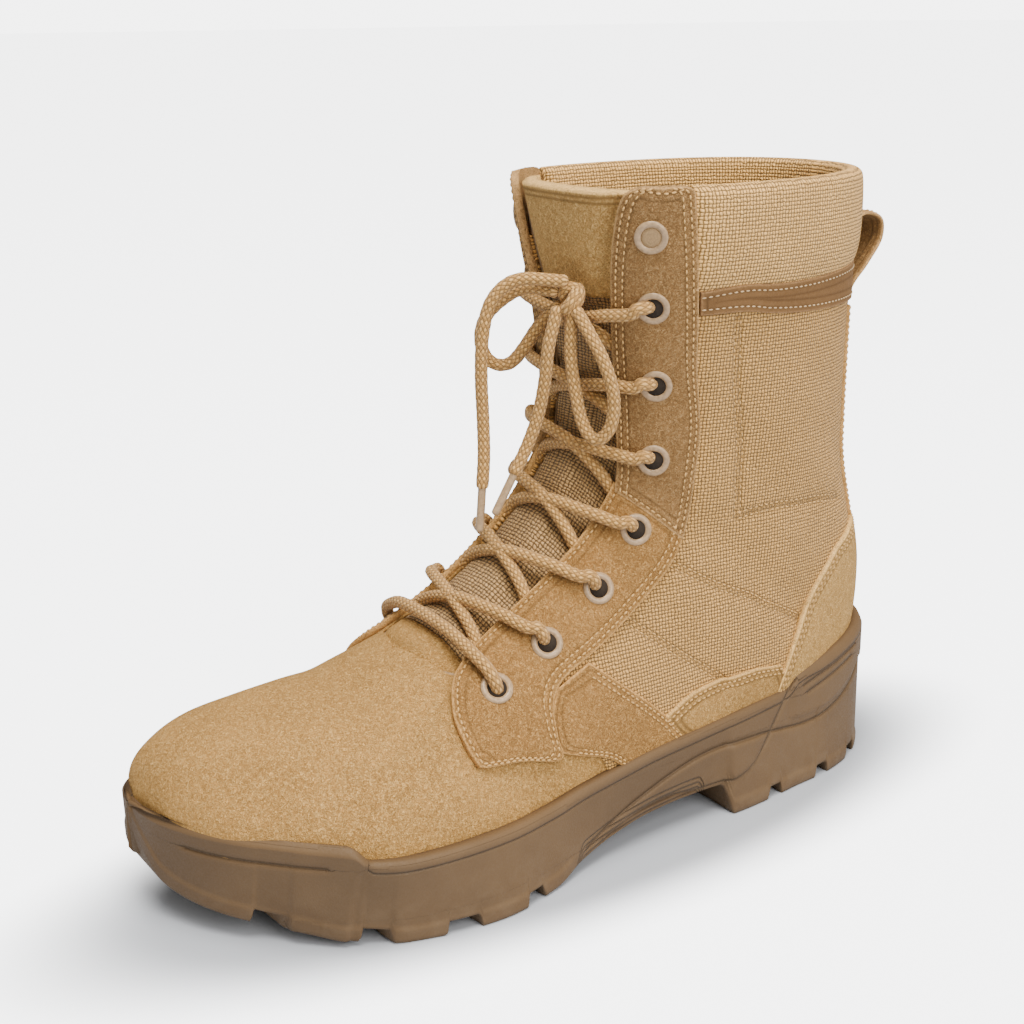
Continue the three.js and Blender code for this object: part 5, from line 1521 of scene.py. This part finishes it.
@dataclass
class Outsole:
    """Moulded sole: rings across the boot, from its rim down the side, across the tread and up again."""

    rubber: Material
    rows: int = 500
    side_points: int = 58
    tread_points: int = 48
    # Millimetres by which the toe is drawn in, and the least height of the side under the rim.
    toe_inset: float = 2.1
    least_side: float = 4.0

    def __post_init__(self) -> None:
        """Reads the sole's sections."""
        self.table = SectionTable(SOLE_SECTIONS)
        u = np.linspace(0, 1, self.rows)
        front, back = SOLE_SECTIONS[0][0], SOLE_SECTIONS[-1][0]
        self.y = (front + (back - front) * (1 - np.cos(math.pi * u)) / 2) * SOLE_LENGTH
        columns = self.table(self.y / SOLE_LENGTH)
        self.half = {Side.MEDIAL: self._rounded(columns[:, 0]) * SOLE_WIDTH,
                     Side.LATERAL: self._rounded(columns[:, 1]) * SOLE_WIDTH}
        self.flare = columns[:, 2] * SOLE_WIDTH
        self.low, self.rim = columns[:, 3] * HEEL_SEAT, columns[:, 4] * HEEL_SEAT
        self.middle = (self.half[Side.MEDIAL] + self.half[Side.LATERAL]) / 2

    @staticmethod
    def _rounded(values: Array, reach: int = 9) -> Array:
        """Values smoothed along the rows by a bell curve, mirrored through both end points."""
        before, after = 2 * values[0] - values[reach:0:-1], 2 * values[-1] - values[-2:-reach - 2:-1]
        bell = np.exp(-((np.arange(-reach, reach + 1) / (reach * 0.45)) ** 2))
        return np.convolve(np.concatenate([before, values, after]), bell / bell.sum(), mode="valid")

    def channels(self, x: Array, y: Array) -> Array:
        """1 inside the tread's channels and 0 on its lugs, with steep walls."""
        share = np.abs(x) / SOLE_WIDTH
        found = np.zeros(np.broadcast(x, y).shape)
        for edge, middle, width in TREAD_CHANNELS:
            line = (middle + (edge - middle) * share) * SOLE_LENGTH
            found = np.maximum(found, smoothstep(width / 2 + 0.5, width / 2 - 0.5, np.abs(y - line)))
        for rows, width in ((BALL_CHANNEL, 6.0), (HEEL_CHANNEL, 5.0)):
            path = np.array(rows) * [SOLE_WIDTH, SOLE_LENGTH]
            line = np.interp(y, path[:, 1], path[:, 0])
            inside = smoothstep(width / 2 + 0.5, width / 2 - 0.5, np.abs(np.abs(x) - line))
            ends = smoothstep(path[0, 1] - 1, path[0, 1], y) * smoothstep(path[-1, 1] + 1, path[-1, 1], y)
            found = np.maximum(found, 0.8 * inside * ends)
        return found

    def side_lines(self, y: Array, z: Array) -> dict[str, Array]:
        """Signed distances in millimetres to the side's lines, heights over the tread and under the rim."""
        place = np.stack([y, z], -1)
        scale = np.array([SOLE_LENGTH, HEEL_SEAT])
        found = {}
        for name, rows in SIDE_LINES.items():
            path = spline(np.array(rows) * scale, np.linspace(0, 1, 60))
            order = np.argsort(path[:, 0])
            above = z - np.interp(y, path[order, 0], path[order, 1])
            away = np.minimum(polyline_distance(place, path), LINE_REACH)
            found[name] = np.where(above < 0, -1.0, 1.0) * away
        low, rim = np.interp(y, self.y, self.low), np.interp(y, self.y, self.rim)
        arch = smoothstep(-0.085, -0.05, y / SOLE_LENGTH) * smoothstep(0.17, 0.13, y / SOLE_LENGTH)
        end = np.interp(z, *(np.array(BUMPER_END[::-1])[:, ::-1] * scale[::-1]).T)
        found["over_tread"] = z - low + LINE_REACH * (1 - arch)
        found["under_rim"] = rim - z + LINE_REACH * smoothstep(-1.0, 1.0, end - y)
        found["past_bumper"] = y - end
        return found

    def side_relief(self, y: Array, z: Array, lines: dict[str, Array]) -> Array:
        """How far the side stands out: bumper, band between sweeps, heel plate, foot, less the grooves."""
        length = y / SOLE_LENGTH
        band = smoothstep(-0.9, 0.9, lines["heel_sweep"]) * smoothstep(0.9, -0.9, lines["arch_sweep"])
        band = band * smoothstep(-0.03, 0.03, length) * smoothstep(0.245, 0.22, length)
        plate = smoothstep(-0.9, 0.9, lines["arch_sweep"] - 3.4) * smoothstep(0.285, 0.3, length)
        bumper = smoothstep(0.9, -0.9, lines["past_bumper"])
        foot = smoothstep(7.0, 4.5, z - np.interp(y, self.y, self.low))
        foot = foot * (1 - smoothstep(-0.085, -0.05, length) * smoothstep(0.19, 0.17, length))
        cut = np.max([np.exp(-((lines[name] / 1.1) ** 2)) for name in SIDE_LINES], axis=0)
        return 0.9 * band + 0.8 * plate + 1.3 * bumper + 0.5 * foot - 0.6 * cut

    def side_strip(self, side: Side) -> tuple[Array, dict[str, Array]]:
        """Grid of one side from the hidden inside over the rim down to the tread, and its lines."""
        outer = self.half[side]
        even = np.linspace(0.965, 0.05, self.side_points)
        rise = np.concatenate([[1.0, 1.0, 1.0, 0.985], even, [0.02, 0.0]])
        inset = np.zeros(len(rise))
        inset[:4] = [4.6, 1.7, 0.7, 0.15]
        inset[-2:] = [0.25, 0.8]
        notch = self.channels(outer, self.y) * LUG_DEPTH
        bottom = np.minimum(self.low + notch, self.rim - self.least_side)
        z = bottom[:, None] + (self.rim - bottom)[:, None] * rise[None]
        z[:, :4] += np.array([1.6, 1.5, 0.9, 0.25])
        x = outer[:, None] + side.value * self.flare[:, None] * (1 - rise[None])
        y = np.repeat(self.y[:, None], len(rise), 1)
        wide = np.maximum(np.abs(outer - self.middle)[:, None], 1e-3)
        x = self.middle[:, None] + (x - self.middle[:, None]) * np.maximum(1 - inset[None] / wide, 0.0)
        lines = self.side_lines(y, z)
        height = self.side_relief(y, z, lines)
        fade = smoothstep(1.0, 0.97, rise)[None] * np.ones_like(y)
        run = unit(np.stack([np.gradient(outer), np.gradient(self.y)], -1))
        out = side.value * np.stack([run[:, 1], -run[:, 0]], -1)[:, None]
        drawn_in = self.toe_inset * smoothstep(-0.26, -0.42, self.y / SOLE_LENGTH)[:, None]
        flat = np.stack([x, y], -1) + out * (height * fade - drawn_in * (inset < 4.0))[..., None]
        return np.concatenate([flat, z[..., None]], -1), lines

    def surface(self) -> Surface:
        """The whole sole as one closed surface."""
        parts, marks = [], []
        seat = np.minimum(FORM.seat_height(self.y) - 0.6, self.rim - 0.5)
        for side in (Side.LATERAL, Side.MEDIAL):
            inside = width_at(side, self.y, self.rim, 0.0, self.middle)
            rows = [np.stack([inside - side.value * 2.0, self.y, seat], -1),
                    np.stack([inside - side.value * 1.2, self.y, self.rim - 2.5], -1),
                    np.stack([inside - side.value * 0.2, self.y, self.rim - 0.7], -1)]
            strip, lines = self.side_strip(side)
            parts.append(np.concatenate([np.stack(rows, 1), strip], 1))
            marks.append({name: np.pad(value, ((0, 0), (3, 0)), constant_values=LINE_REACH)
                          for name, value in lines.items()})
        lateral, medial = parts
        v = np.linspace(0, 1, self.tread_points)[None, 1:-1, None]
        tread = lateral[:, -1:] + (medial[:, -1:] - lateral[:, -1:]) * v
        deep = self.channels(tread[..., 0], tread[..., 1])
        tread[..., 2] = np.minimum(self.low[:, None] + deep * LUG_DEPTH, self.rim[:, None] - self.least_side)
        ring = np.concatenate([lateral, tread, medial[:, ::-1]], 1)
        far = np.full(deep.shape, LINE_REACH)
        values = {name: np.concatenate([marks[0][name], far, marks[1][name][:, ::-1]], 1).ravel()
                  for name in marks[0]}
        return Surface(ring.reshape(-1, 3), grid_faces(len(ring), ring.shape[1], wrap=True)[:, ::-1], values)

    def build(self) -> None:
        """Makes the sole."""
        add_piece("sole", self.surface(), self.rubber, replaced=("outsole",))


@dataclass
class Insole:
    """Footbed inside the wall, its edge rounded up against it."""

    lining: Material
    thickness: float = 4.5
    rows: int = 120
    columns: int = 46

    def surface(self) -> Surface:
        """Grid across the foot between the wall's two sides at the bed's height."""
        rise = GAP + self.thickness
        probe = np.linspace(-150, 135, 400)
        level = FORM.seat_height(probe) + rise
        inner = -WALL - GAP * 1.2
        edges = [width_at(side, probe, level, inner, np.full(len(probe), np.nan)) for side in Side]
        found = ~np.isnan(edges[0]) & ~np.isnan(edges[1])
        known = probe[found]
        y = known[0] + (known[-1] - known[0]) * (1 - np.cos(np.linspace(0, math.pi, self.rows))) / 2
        lateral, medial = (np.interp(y, known, edge[found]) for edge in edges)
        v = (1 - np.cos(np.linspace(0, math.pi, self.columns))) / 2
        x = medial[:, None] + (lateral - medial)[:, None] * v[None]
        away = np.minimum(x - medial[:, None], lateral[:, None] - x)
        z = FORM.seat_height(y)[:, None] + rise - 1.2 * (1 - np.clip(away / 2.0, 0, 1)) ** 2
        z = z - 1.5 * smoothstep(6.0, 30.0, away) * smoothstep(-40.0, 60.0, y)[:, None]
        rows = np.repeat(y[:, None], self.columns, 1)
        under = np.repeat((FORM.seat_height(y) + GAP)[:, None], self.columns, 1)
        top, bottom = np.stack([x, rows, z], -1), np.stack([x, rows, under], -1)
        return shell(top, bottom, {"seam": np.full(x.shape, FAR)}, np.stack([x, rows], -1))

    def build(self) -> None:
        """Makes the footbed."""
        add_piece("footbed", self.surface(), self.lining, replaced=("insole",))


# Millimetres behind and above the pull loop's upper end.
LOOP_BEND: Rows = [(0.0, 0.0), (9.0, 2.5), (16.5, -0.5), (17.0, -7.5), (10.0, -17.0), (1.2, -27.0)]


@dataclass
class PullLoop:
    """Folded suede ribbon at the back, stitched along both edges."""

    suede: Material
    threads: ThreadBank
    width: float = 24.0
    thickness: float = 2.0
    stitch_inset: float = 2.2
    sides: int = 72

    def route(self) -> Array:
        """The ribbon's middle line in the plane x = 0."""
        back = FORM.point(0.972, math.pi) + FORM.normal(0.972, math.pi) * 3.8
        low = FORM.point(0.915, math.pi) + FORM.normal(0.915, math.pi) * (SUEDE + 3 * GAP)
        points = [(0.0, float(back[1]) + self.thickness / 2 + y, float(back[2]) + z) for y, z in LOOP_BEND]
        return smooth_route([*points, (0.0, float(low[1]) + self.thickness / 2, float(low[2]) - 4)], 0.8)

    def build(self) -> None:
        """Makes the ribbon: a flat oval carried along the route."""
        path = self.route()
        tangent = unit(np.gradient(path, axis=0))
        out = unit(np.cross(tangent, [1.0, 0.0, 0.0]))
        turn = np.linspace(0, 2 * math.pi, self.sides, endpoint=False)
        c, n = np.cos(turn), np.sin(turn)
        aside = np.sign(c) * np.abs(c) ** 0.35 * self.width / 2
        thick = np.sign(n) * np.abs(n) ** 0.6 * self.thickness / 2
        points = path[:, None] + aside[None, :, None] * [1.0, 0.0, 0.0] + thick[None, :, None] * out[:, None]
        caps = [path[end] + (points[end] - path[end]) * 0.01 for end in (0, -1)]
        full = np.concatenate([caps[0][None], points, caps[1][None]])
        edge = np.repeat((self.width / 2 - np.abs(aside))[None], len(full), 0)
        faces = grid_faces(len(full), self.sides, wrap=True)
        surface = Surface(full.reshape(-1, 3), faces, {"edge": edge.ravel()})
        add_piece("pull_loop_ribbon", surface, self.suede, replaced=("pull_loop",))
        facing = out * (1.0 if out[len(out) // 2, 1] > 0 else -1.0)
        for side in (-1, 1):
            across = side * (self.width / 2 - self.stitch_inset)
            line = path + [across, 0.0, 0.0] + facing * self.thickness / 2
            self.threads.sew_path(line, facing)


KNOT = (11.0, 5.5, 199.5)
LOOP_OUTER: Rows = [
    (5.8, 2, 202), (-5, -3, 202.5), (-12, -8, 198), (-18, -12.5, 190), (-19, -13.5, 181.5), (-16, -11, 174.5),
    (-11.5, -6.5, 174), (-7, -3, 180), (-3, 0, 187.5), (1.5, 2, 193), (5.8, 3.6, 196.4),
]
LOOP_INNER: Rows = [
    (15.6, 4.7, 195.7), (22, 6, 188), (26.5, 8, 180), (28.5, 10.5, 170), (28, 11.5, 162), (26, 10.5, 154),
    (22, 8, 150.5), (18, 6, 155), (14.5, 5, 166), (12.5, 4, 180), (12.8, 4, 190), (13, 4.4, 194.4),
]
END_OUTER: Rows = [
    (10, 3, 206), (-2, -10, 206), (-7, -16, 199), (-9, -18.5, 188), (-10, -19, 172), (-10, -18.5, 156),
    (-9, -19, 142), (-8, -20.5, 132),
]
END_INNER: Rows = [
    (9.3, 0.6, 196), (8.5, -2.5, 184), (6.5, -3, 170), (4, -4.5, 157), (2, -8, 146), (1.5, -12.5, 138),
]


def braided(path: Array) -> Surface:
    """The lace along a path."""
    return tube(path, LACE_RADIUS, braid=0.05)


@dataclass
class Lacing:
    """Lace through the eyelets, its knot, loops, ends and tips."""

    lace: Material
    tip: Material
    # Steps of the routes in millimetres; points to each side over which a free cord's corners are eased.
    strand_step: float = 0.9
    cord_step: float = 0.7
    eased: int = 7

    def crossing(self, side: Side, row: int) -> Surface:
        """One strand from under a facing, over the other facing's edge to its next eyelet."""
        begin = EYELET_STATIONS[row]
        step = EYELET_STATIONS[row + 1] - begin
        other = Side.MEDIAL if side is Side.LATERAL else Side.LATERAL
        under = float(FORM.throat_angle(other, begin + 0.3 * step))
        over = float(FORM.throat_angle(side, begin + 0.74 * step))
        eyelet = float(FORM.side_angle(side, begin + step, EYELET_ANGLE))
        top = EYELET_SEAT + LACE_RADIUS
        rows = [
            (0.12, under * 1.25, -1.6), (0.3, under * 0.78, 0.6), (0.5, (under + over) * 0.5, top * 0.72),
            (0.74, over, top + 0.75), (0.9, over + (eyelet - over) * 0.6, top + 1.5),
            (0.985, over + (eyelet - over) * 0.7, top + 1.6), (1.0, over + (eyelet - over) * 0.85, top - 0.1),
            (1.0, eyelet - side.value * 0.03, top - 2.8), (1.0, eyelet, -2.0),
        ]
        points = [tuple(FORM.over(begin + share * step, angle, height)) for share, angle, height in rows]
        return braided(smooth_route(points, self.strand_step))

    def bar(self) -> Surface:
        """Lowest strand, straight across."""
        s = EYELET_STATIONS[0]
        top = EYELET_SEAT + LACE_RADIUS
        halves = []
        for side in Side:
            eyelet = float(FORM.side_angle(side, s, EYELET_ANGLE))
            edge = float(FORM.throat_angle(side, s))
            rows = [(eyelet, -2.0), (eyelet, top - 2.2), (eyelet + (edge - eyelet) * 0.28, top + 1.4),
                    (eyelet + (edge - eyelet) * 0.75, top + 0.9), (edge * 0.6, top + 0.3)]
            halves.append([tuple(FORM.over(s, a, h)) for a, h in rows])
        return braided(smooth_route(halves[0] + halves[1][::-1], self.strand_step))

    def build(self) -> None:
        """Makes the strands, the knot and the free cords."""
        add_piece("lace_bar_cord", self.bar(), self.lace, replaced=("lace_bar",))
        for row in range(len(EYELET_STATIONS) - 1):
            pair = joined([self.crossing(side, row) for side in Side])
            name, node = f"lace_cross_cord_{row + 1}", f"lace_cross_{row + 1}"
            add_piece(name, pair, self.lace, replaced=(node,))
        turn = np.linspace(0, 2 * math.pi, 40)
        c, n = np.cos(turn), np.sin(turn)
        wraps = [
            (3.4 * c, 1.2 * np.sin(turn * 2), 4.0 * n),
            (2.6 * c - 1.5 * n, 3.0 * n, 2.6 * n + 2.2 * c),
        ]
        knot = joined([braided(resample(np.array(KNOT) + np.stack(wrap, -1), 0.6)) for wrap in wraps])
        add_piece("lace_knot_cord", knot, self.lace, replaced=("lace_knot",))
        routes = {"lace_loop_outer": LOOP_OUTER, "lace_loop_inner": LOOP_INNER, "lace_end_outer": END_OUTER,
                  "lace_end_inner": END_INNER}
        for name, rows in routes.items():
            path = resample(relaxed(smooth_route(rows, self.cord_step), self.eased), self.cord_step)
            cord = add_piece(name + "_cord", braided(path), self.lace, replaced=(name,))
            if name.startswith("lace_end"):
                along = unit(np.array(rows[-1]) - np.array(rows[-2]))
                start = np.array(rows[-1]) + along * 0.3
                line = start + along * np.linspace(0, AGLET_LENGTH, 20)[:, None]
                label = "aglet_" + name.rsplit("_", 1)[1]
                add_piece(label + "_tip", tube(line, AGLET_RADIUS), self.tip,
                                      replaced=(label,))


# Profiles of an eyelet's ring, the dark disc of painted shade in its hole and a stud's cap: radius and height
# over their seat.
RING: Rows = [(3.35, -3.0), (3.7, -3.0), (3.7, -0.4), (5.5, -0.4), (5.85, -0.1), (5.75, 0.3), (5.2, 0.7),
              (4.4, 0.8), (3.7, 0.5), (3.35, -0.1)]
HOLE_SHADE: Rows = [(0.0, -1.0), (3.5, -1.0), (3.5, 0.12), (0.0, 0.12)]
CAP: Rows = [(0.0, -0.9), (3.6, -0.9), (3.6, 0.1), (2.5, 0.5), (1.2, 0.35), (0.0, 0.45)]


@dataclass
class Hardware:
    """Painted rings of the eyelets and the studs at the top."""

    paint: Material
    rough: Material
    # Near-black for the discs in the eyelets' holes: painted shade.
    dark: Material
    # Height over the seat on the lower and on the upper eyestay, which laps over it.
    lift_lower: float = 0.15
    lift_upper: float = 0.75
    lower_eyelets: int = 4

    def build(self) -> None:
        """Makes a ring for each CAD eyelet and stud."""
        profile = np.array(RING + RING[:1])
        holes: list[Surface] = []
        caps: list[Surface] = []
        for side in Side:
            for number, station in enumerate((*EYELET_STATIONS, STUD_STATION), 1):
                angle = float(FORM.side_angle(side, station, EYELET_ANGLE))
                lift = self.lift_upper if number > self.lower_eyelets else self.lift_lower
                place, normal = FORM.over(station, angle, EYELET_SEAT + lift), FORM.normal(station, angle)
                stud = number > len(EYELET_STATIONS)
                name = f"stud_{side.label}" if stud else f"eyelet_{side.label}_{number}"
                ring = revolve(profile, 40, place, normal)
                add_piece(name + "_ring", ring, self.paint, replaced=(name,))
                # Eyelets get a dark disc of painted shade in the hole; studs get their cap.
                floor = np.array(CAP if stud else HOLE_SHADE)
                fill = revolve(floor, 24, place, normal)
                (caps if stud else holes).append(fill)
        add_piece("eyelet_holes", joined(holes), self.dark, weld=0.0)
        add_piece("stud_caps", joined(caps), self.rough, weld=0.0)


def world_matrix(axes: list[Array], place: Array) -> Matrix:
    """World matrix from three axes and a place in metres."""
    rows = np.column_stack([*axes, place])
    return Matrix([*rows.tolist(), [0.0, 0.0, 0.0, 1.0]])


def make_camera() -> None:
    """Camera at the photograph's place and angle to the boot."""
    place = np.array([471.4071, -321.3778, 295.6237])
    yaw, pitch, roll, lens = 2.56235171, -0.29803331, -0.01019356, 57.305
    forward = np.array([math.cos(pitch) * math.cos(yaw), math.cos(pitch) * math.sin(yaw), math.sin(pitch)])
    right = unit(np.cross(forward, [0.0, 0.0, 1.0]))
    up = np.cross(right, forward)
    across = math.cos(roll) * right + math.sin(roll) * up
    upright = -math.sin(roll) * right + math.cos(roll) * up
    data = bpy.data.cameras.new("camera")
    data.lens = lens
    data.clip_start = 0.01
    camera = bpy.data.objects.new("camera", data)
    camera.matrix_world = world_matrix([across, upright, -forward], to_frame(place))
    bpy.context.scene.collection.objects.link(camera)
    bpy.context.scene.camera = camera


@dataclass(frozen=True)
class StudioLight:
    """A square soft light that faces the boot from a place given in metres."""

    name: str
    place: tuple[float, float, float]
    size: float
    power: float
    colour: Colour = (1.0, 0.93, 0.82)
    aim: tuple[float, float, float] = (0.0, 0.0, 0.1)

    def add(self) -> None:
        """Puts the light in the scene."""
        data = bpy.data.lights.new(self.name, "AREA")
        data.size = self.size
        data.energy = self.power
        data.color = self.colour
        light = bpy.data.objects.new(self.name, data)
        spot = np.array(self.place)
        back = unit(spot - np.array(self.aim))
        side = unit(np.cross([0.0, 0.0, 1.0], back))
        light.matrix_world = world_matrix([side, np.cross(back, side), back], spot)
        bpy.context.scene.collection.objects.link(light)


# Half widths in metres of the ellipse under the boot in which the floor doesn't glow, which paints the boot's
# shadow, and the multiples of it at which the glow starts and is full.
SHADOW_ELLIPSE = (0.062, 0.16)
GLOW_FROM, GLOW_FULL = 0.95, 1.5
# Strengths of floor and sky: what they cast, and how much more the camera sees.
FLOOR_CAST, FLOOR_SEEN = 0.4, 4.2
SKY_CAST, SKY_SEEN = 0.5, 4.9
STUDIO_LIGHTS = (
    StudioLight("key", (0.45, -0.2, 2.1), 1.1, 74.0),
    StudioLight("fill", (1.75, 0.15, 1.1), 1.4, 44.0),
)


def make_studio() -> None:
    """Plain pale floor and soft light; the floor glows except in an ellipse under the boot, which paints its
    shadow, and the floor and the sky look brighter than the light that they cast.
    """
    mesh = bpy.data.meshes.new("floor")
    wide = 30.0
    corners = [(-wide, -wide, 0.0), (wide, -wide, 0.0), (wide, wide, 0.0), (-wide, wide, 0.0)]
    mesh.from_pydata(corners, [], [(0, 1, 2, 3)])
    floor = bpy.data.objects.new("floor", mesh)
    bpy.context.scene.collection.objects.link(floor)
    material, graph, shader = blank_material("floor", 0.9, 0.1)
    shader.inputs["Base Color"].default_value = (0.42, 0.46, 0.54, 1.0)
    x, y, _ = graph.split(graph.place())
    across, along = graph.math("DIVIDE", x, SHADOW_ELLIPSE[0]), graph.math("DIVIDE", y, SHADOW_ELLIPSE[1])
    reach = graph.math("SQRT", graph.math("ADD", graph.math("MULTIPLY", across, across),
                                          graph.math("MULTIPLY", along, along)))
    seen = material.node_tree.nodes.new("ShaderNodeLightPath").outputs["Is Camera Ray"]
    strength = graph.math("ADD", FLOOR_CAST, graph.math("MULTIPLY", seen, FLOOR_SEEN))
    # Painted shadow: no glow inside the ellipse under the boot, full glow outside it.
    glow = graph.math("MULTIPLY", graph.span(reach, GLOW_FROM, GLOW_FULL), strength)
    shader.inputs["Emission Color"].default_value = (1.0, 1.0, 1.0, 1.0)
    graph.feed(shader.inputs["Emission Strength"], glow)
    mesh.materials.append(material)
    world = bpy.data.worlds.new("studio")
    world.use_nodes = True
    sky = Graph(world.node_tree)
    background = world.node_tree.nodes["Background"]
    direct = world.node_tree.nodes.new("ShaderNodeLightPath").outputs["Is Camera Ray"]
    sky.feed(background.inputs["Color"], sky.mix(direct, (1.0, 0.94, 0.84), (1.0, 1.0, 1.0)))
    glare = sky.math("ADD", SKY_CAST, sky.math("MULTIPLY", direct, SKY_SEEN))
    sky.feed(background.inputs["Strength"], glare)
    bpy.context.scene.world = world
    for light in STUDIO_LIGHTS:
        light.add()


FINISHES = (
    SuedeFinish("suede", (0.35, 0.18, 0.055), (0.57, 0.33, 0.12), contrast=1.2),
    SuedeFinish("suede_vamp", (0.47, 0.256, 0.078), (0.7, 0.44, 0.16), edged=False, contrast=1.25),
    # The shaft suede is a darker copy of the suede: painted shade on the upper eyestays and pull loop.
    SuedeFinish("suede_shaft_shaded", (0.27, 0.148, 0.055), (0.46, 0.28, 0.12), contrast=1.2),
    # The heel and strip suedes are lighter copies of the suede: painted light on the counter, foxing and
    # tongue top.
    SuedeFinish("suede_heel_lit", (0.54, 0.31, 0.1), (0.8, 0.52, 0.2), contrast=1.25, trough=(0.85, 0.8)),
    SuedeFinish("suede_strip_lit", (0.45, 0.25, 0.08), (0.68, 0.43, 0.16), contrast=1.25, trough=(0.85, 0.8)),
    SuedeFinish("suede_tape", (0.17, 0.092, 0.038), (0.24, 0.14, 0.065), nap_depth=0.0001, contrast=0.4),
    CanvasFinish("canvas", (0.66, 0.365, 0.105), (0.85, 0.52, 0.19)),
    CanvasFinish("canvas_collar", (0.83, 0.475, 0.145), (0.96, 0.63, 0.25), seamed=False),
    CanvasFinish("canvas_tongue", (0.46, 0.275, 0.11), (0.62, 0.42, 0.21), seamed=False),
    PlainFinish("lining", (0.33, 0.22, 0.12), 0.95),
    RubberFinish("rubber", (0.112, 0.067, 0.031), (0.19, 0.13, 0.075), tuple(SIDE_LINES)),
    LaceFinish("lace", (0.46, 0.25, 0.075), (0.74, 0.46, 0.17)),
    PlainFinish("ring_paint", (0.35, 0.24, 0.14), 0.24),
    PlainFinish("stud_rough", (0.3, 0.195, 0.095), 0.7, grain=2200.0, depth=0.0004),
    PlainFinish("hole_painted_shade", (0.02, 0.013, 0.008), 0.9),
    PlainFinish("thread_tan", (0.54, 0.33, 0.125), 0.8),
    PlainFinish("thread_dull", (0.6, 0.37, 0.14), 0.8),
    PlainFinish("thread_pale", (0.56, 0.4, 0.23), 0.8),
)


def main() -> None:
    """Builds the boot over its frame."""
    logging.basicConfig(level=logging.INFO, format="%(message)s")
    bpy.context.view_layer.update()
    make_camera()
    shared = Finishes.build()
    looks = {finish.name: finish.material(shared) for finish in FINISHES}
    Lacing(looks["lace"], looks["ring_paint"]).build()
    Outsole(looks["rubber"]).build()
    threads, dull = ThreadBank(), ThreadBank(radius=0.34, length=1.8)
    white = ThreadBank(radius=0.3, length=1.9)
    Upper(looks["suede_vamp"], looks["canvas"], looks["lining"]).build(dull)
    # Upper eyestays and pull loop are in the darker shaft suede, painted shade; counter and foxing in lighter
    # ones, painted light.
    own = {"eyestay_upper": looks["suede_shaft_shaded"], "heel_counter": looks["suede_heel_lit"],
           "foxing": looks["suede_strip_lit"]}
    Overlays(looks["suede"], looks["suede_tape"], threads, white, own).build()
    Collar(looks["canvas_collar"]).build()
    # The tongue's top is in the lighter heel suede: painted light.
    Tongue(looks["suede_heel_lit"], looks["canvas_tongue"], looks["suede_vamp"]).build()
    Hardware(looks["ring_paint"], looks["stud_rough"], looks["hole_painted_shade"]).build()
    Insole(looks["lining"]).build()
    PullLoop(looks["suede_shaft_shaded"], threads).build()
    for bank, tone in ((threads, "tan"), (dull, "dull"), (white, "pale")):
        bank.piece("stitches_" + tone, looks["thread_" + tone], "lace")
    make_studio()


if __name__ == "__main__":
    main()
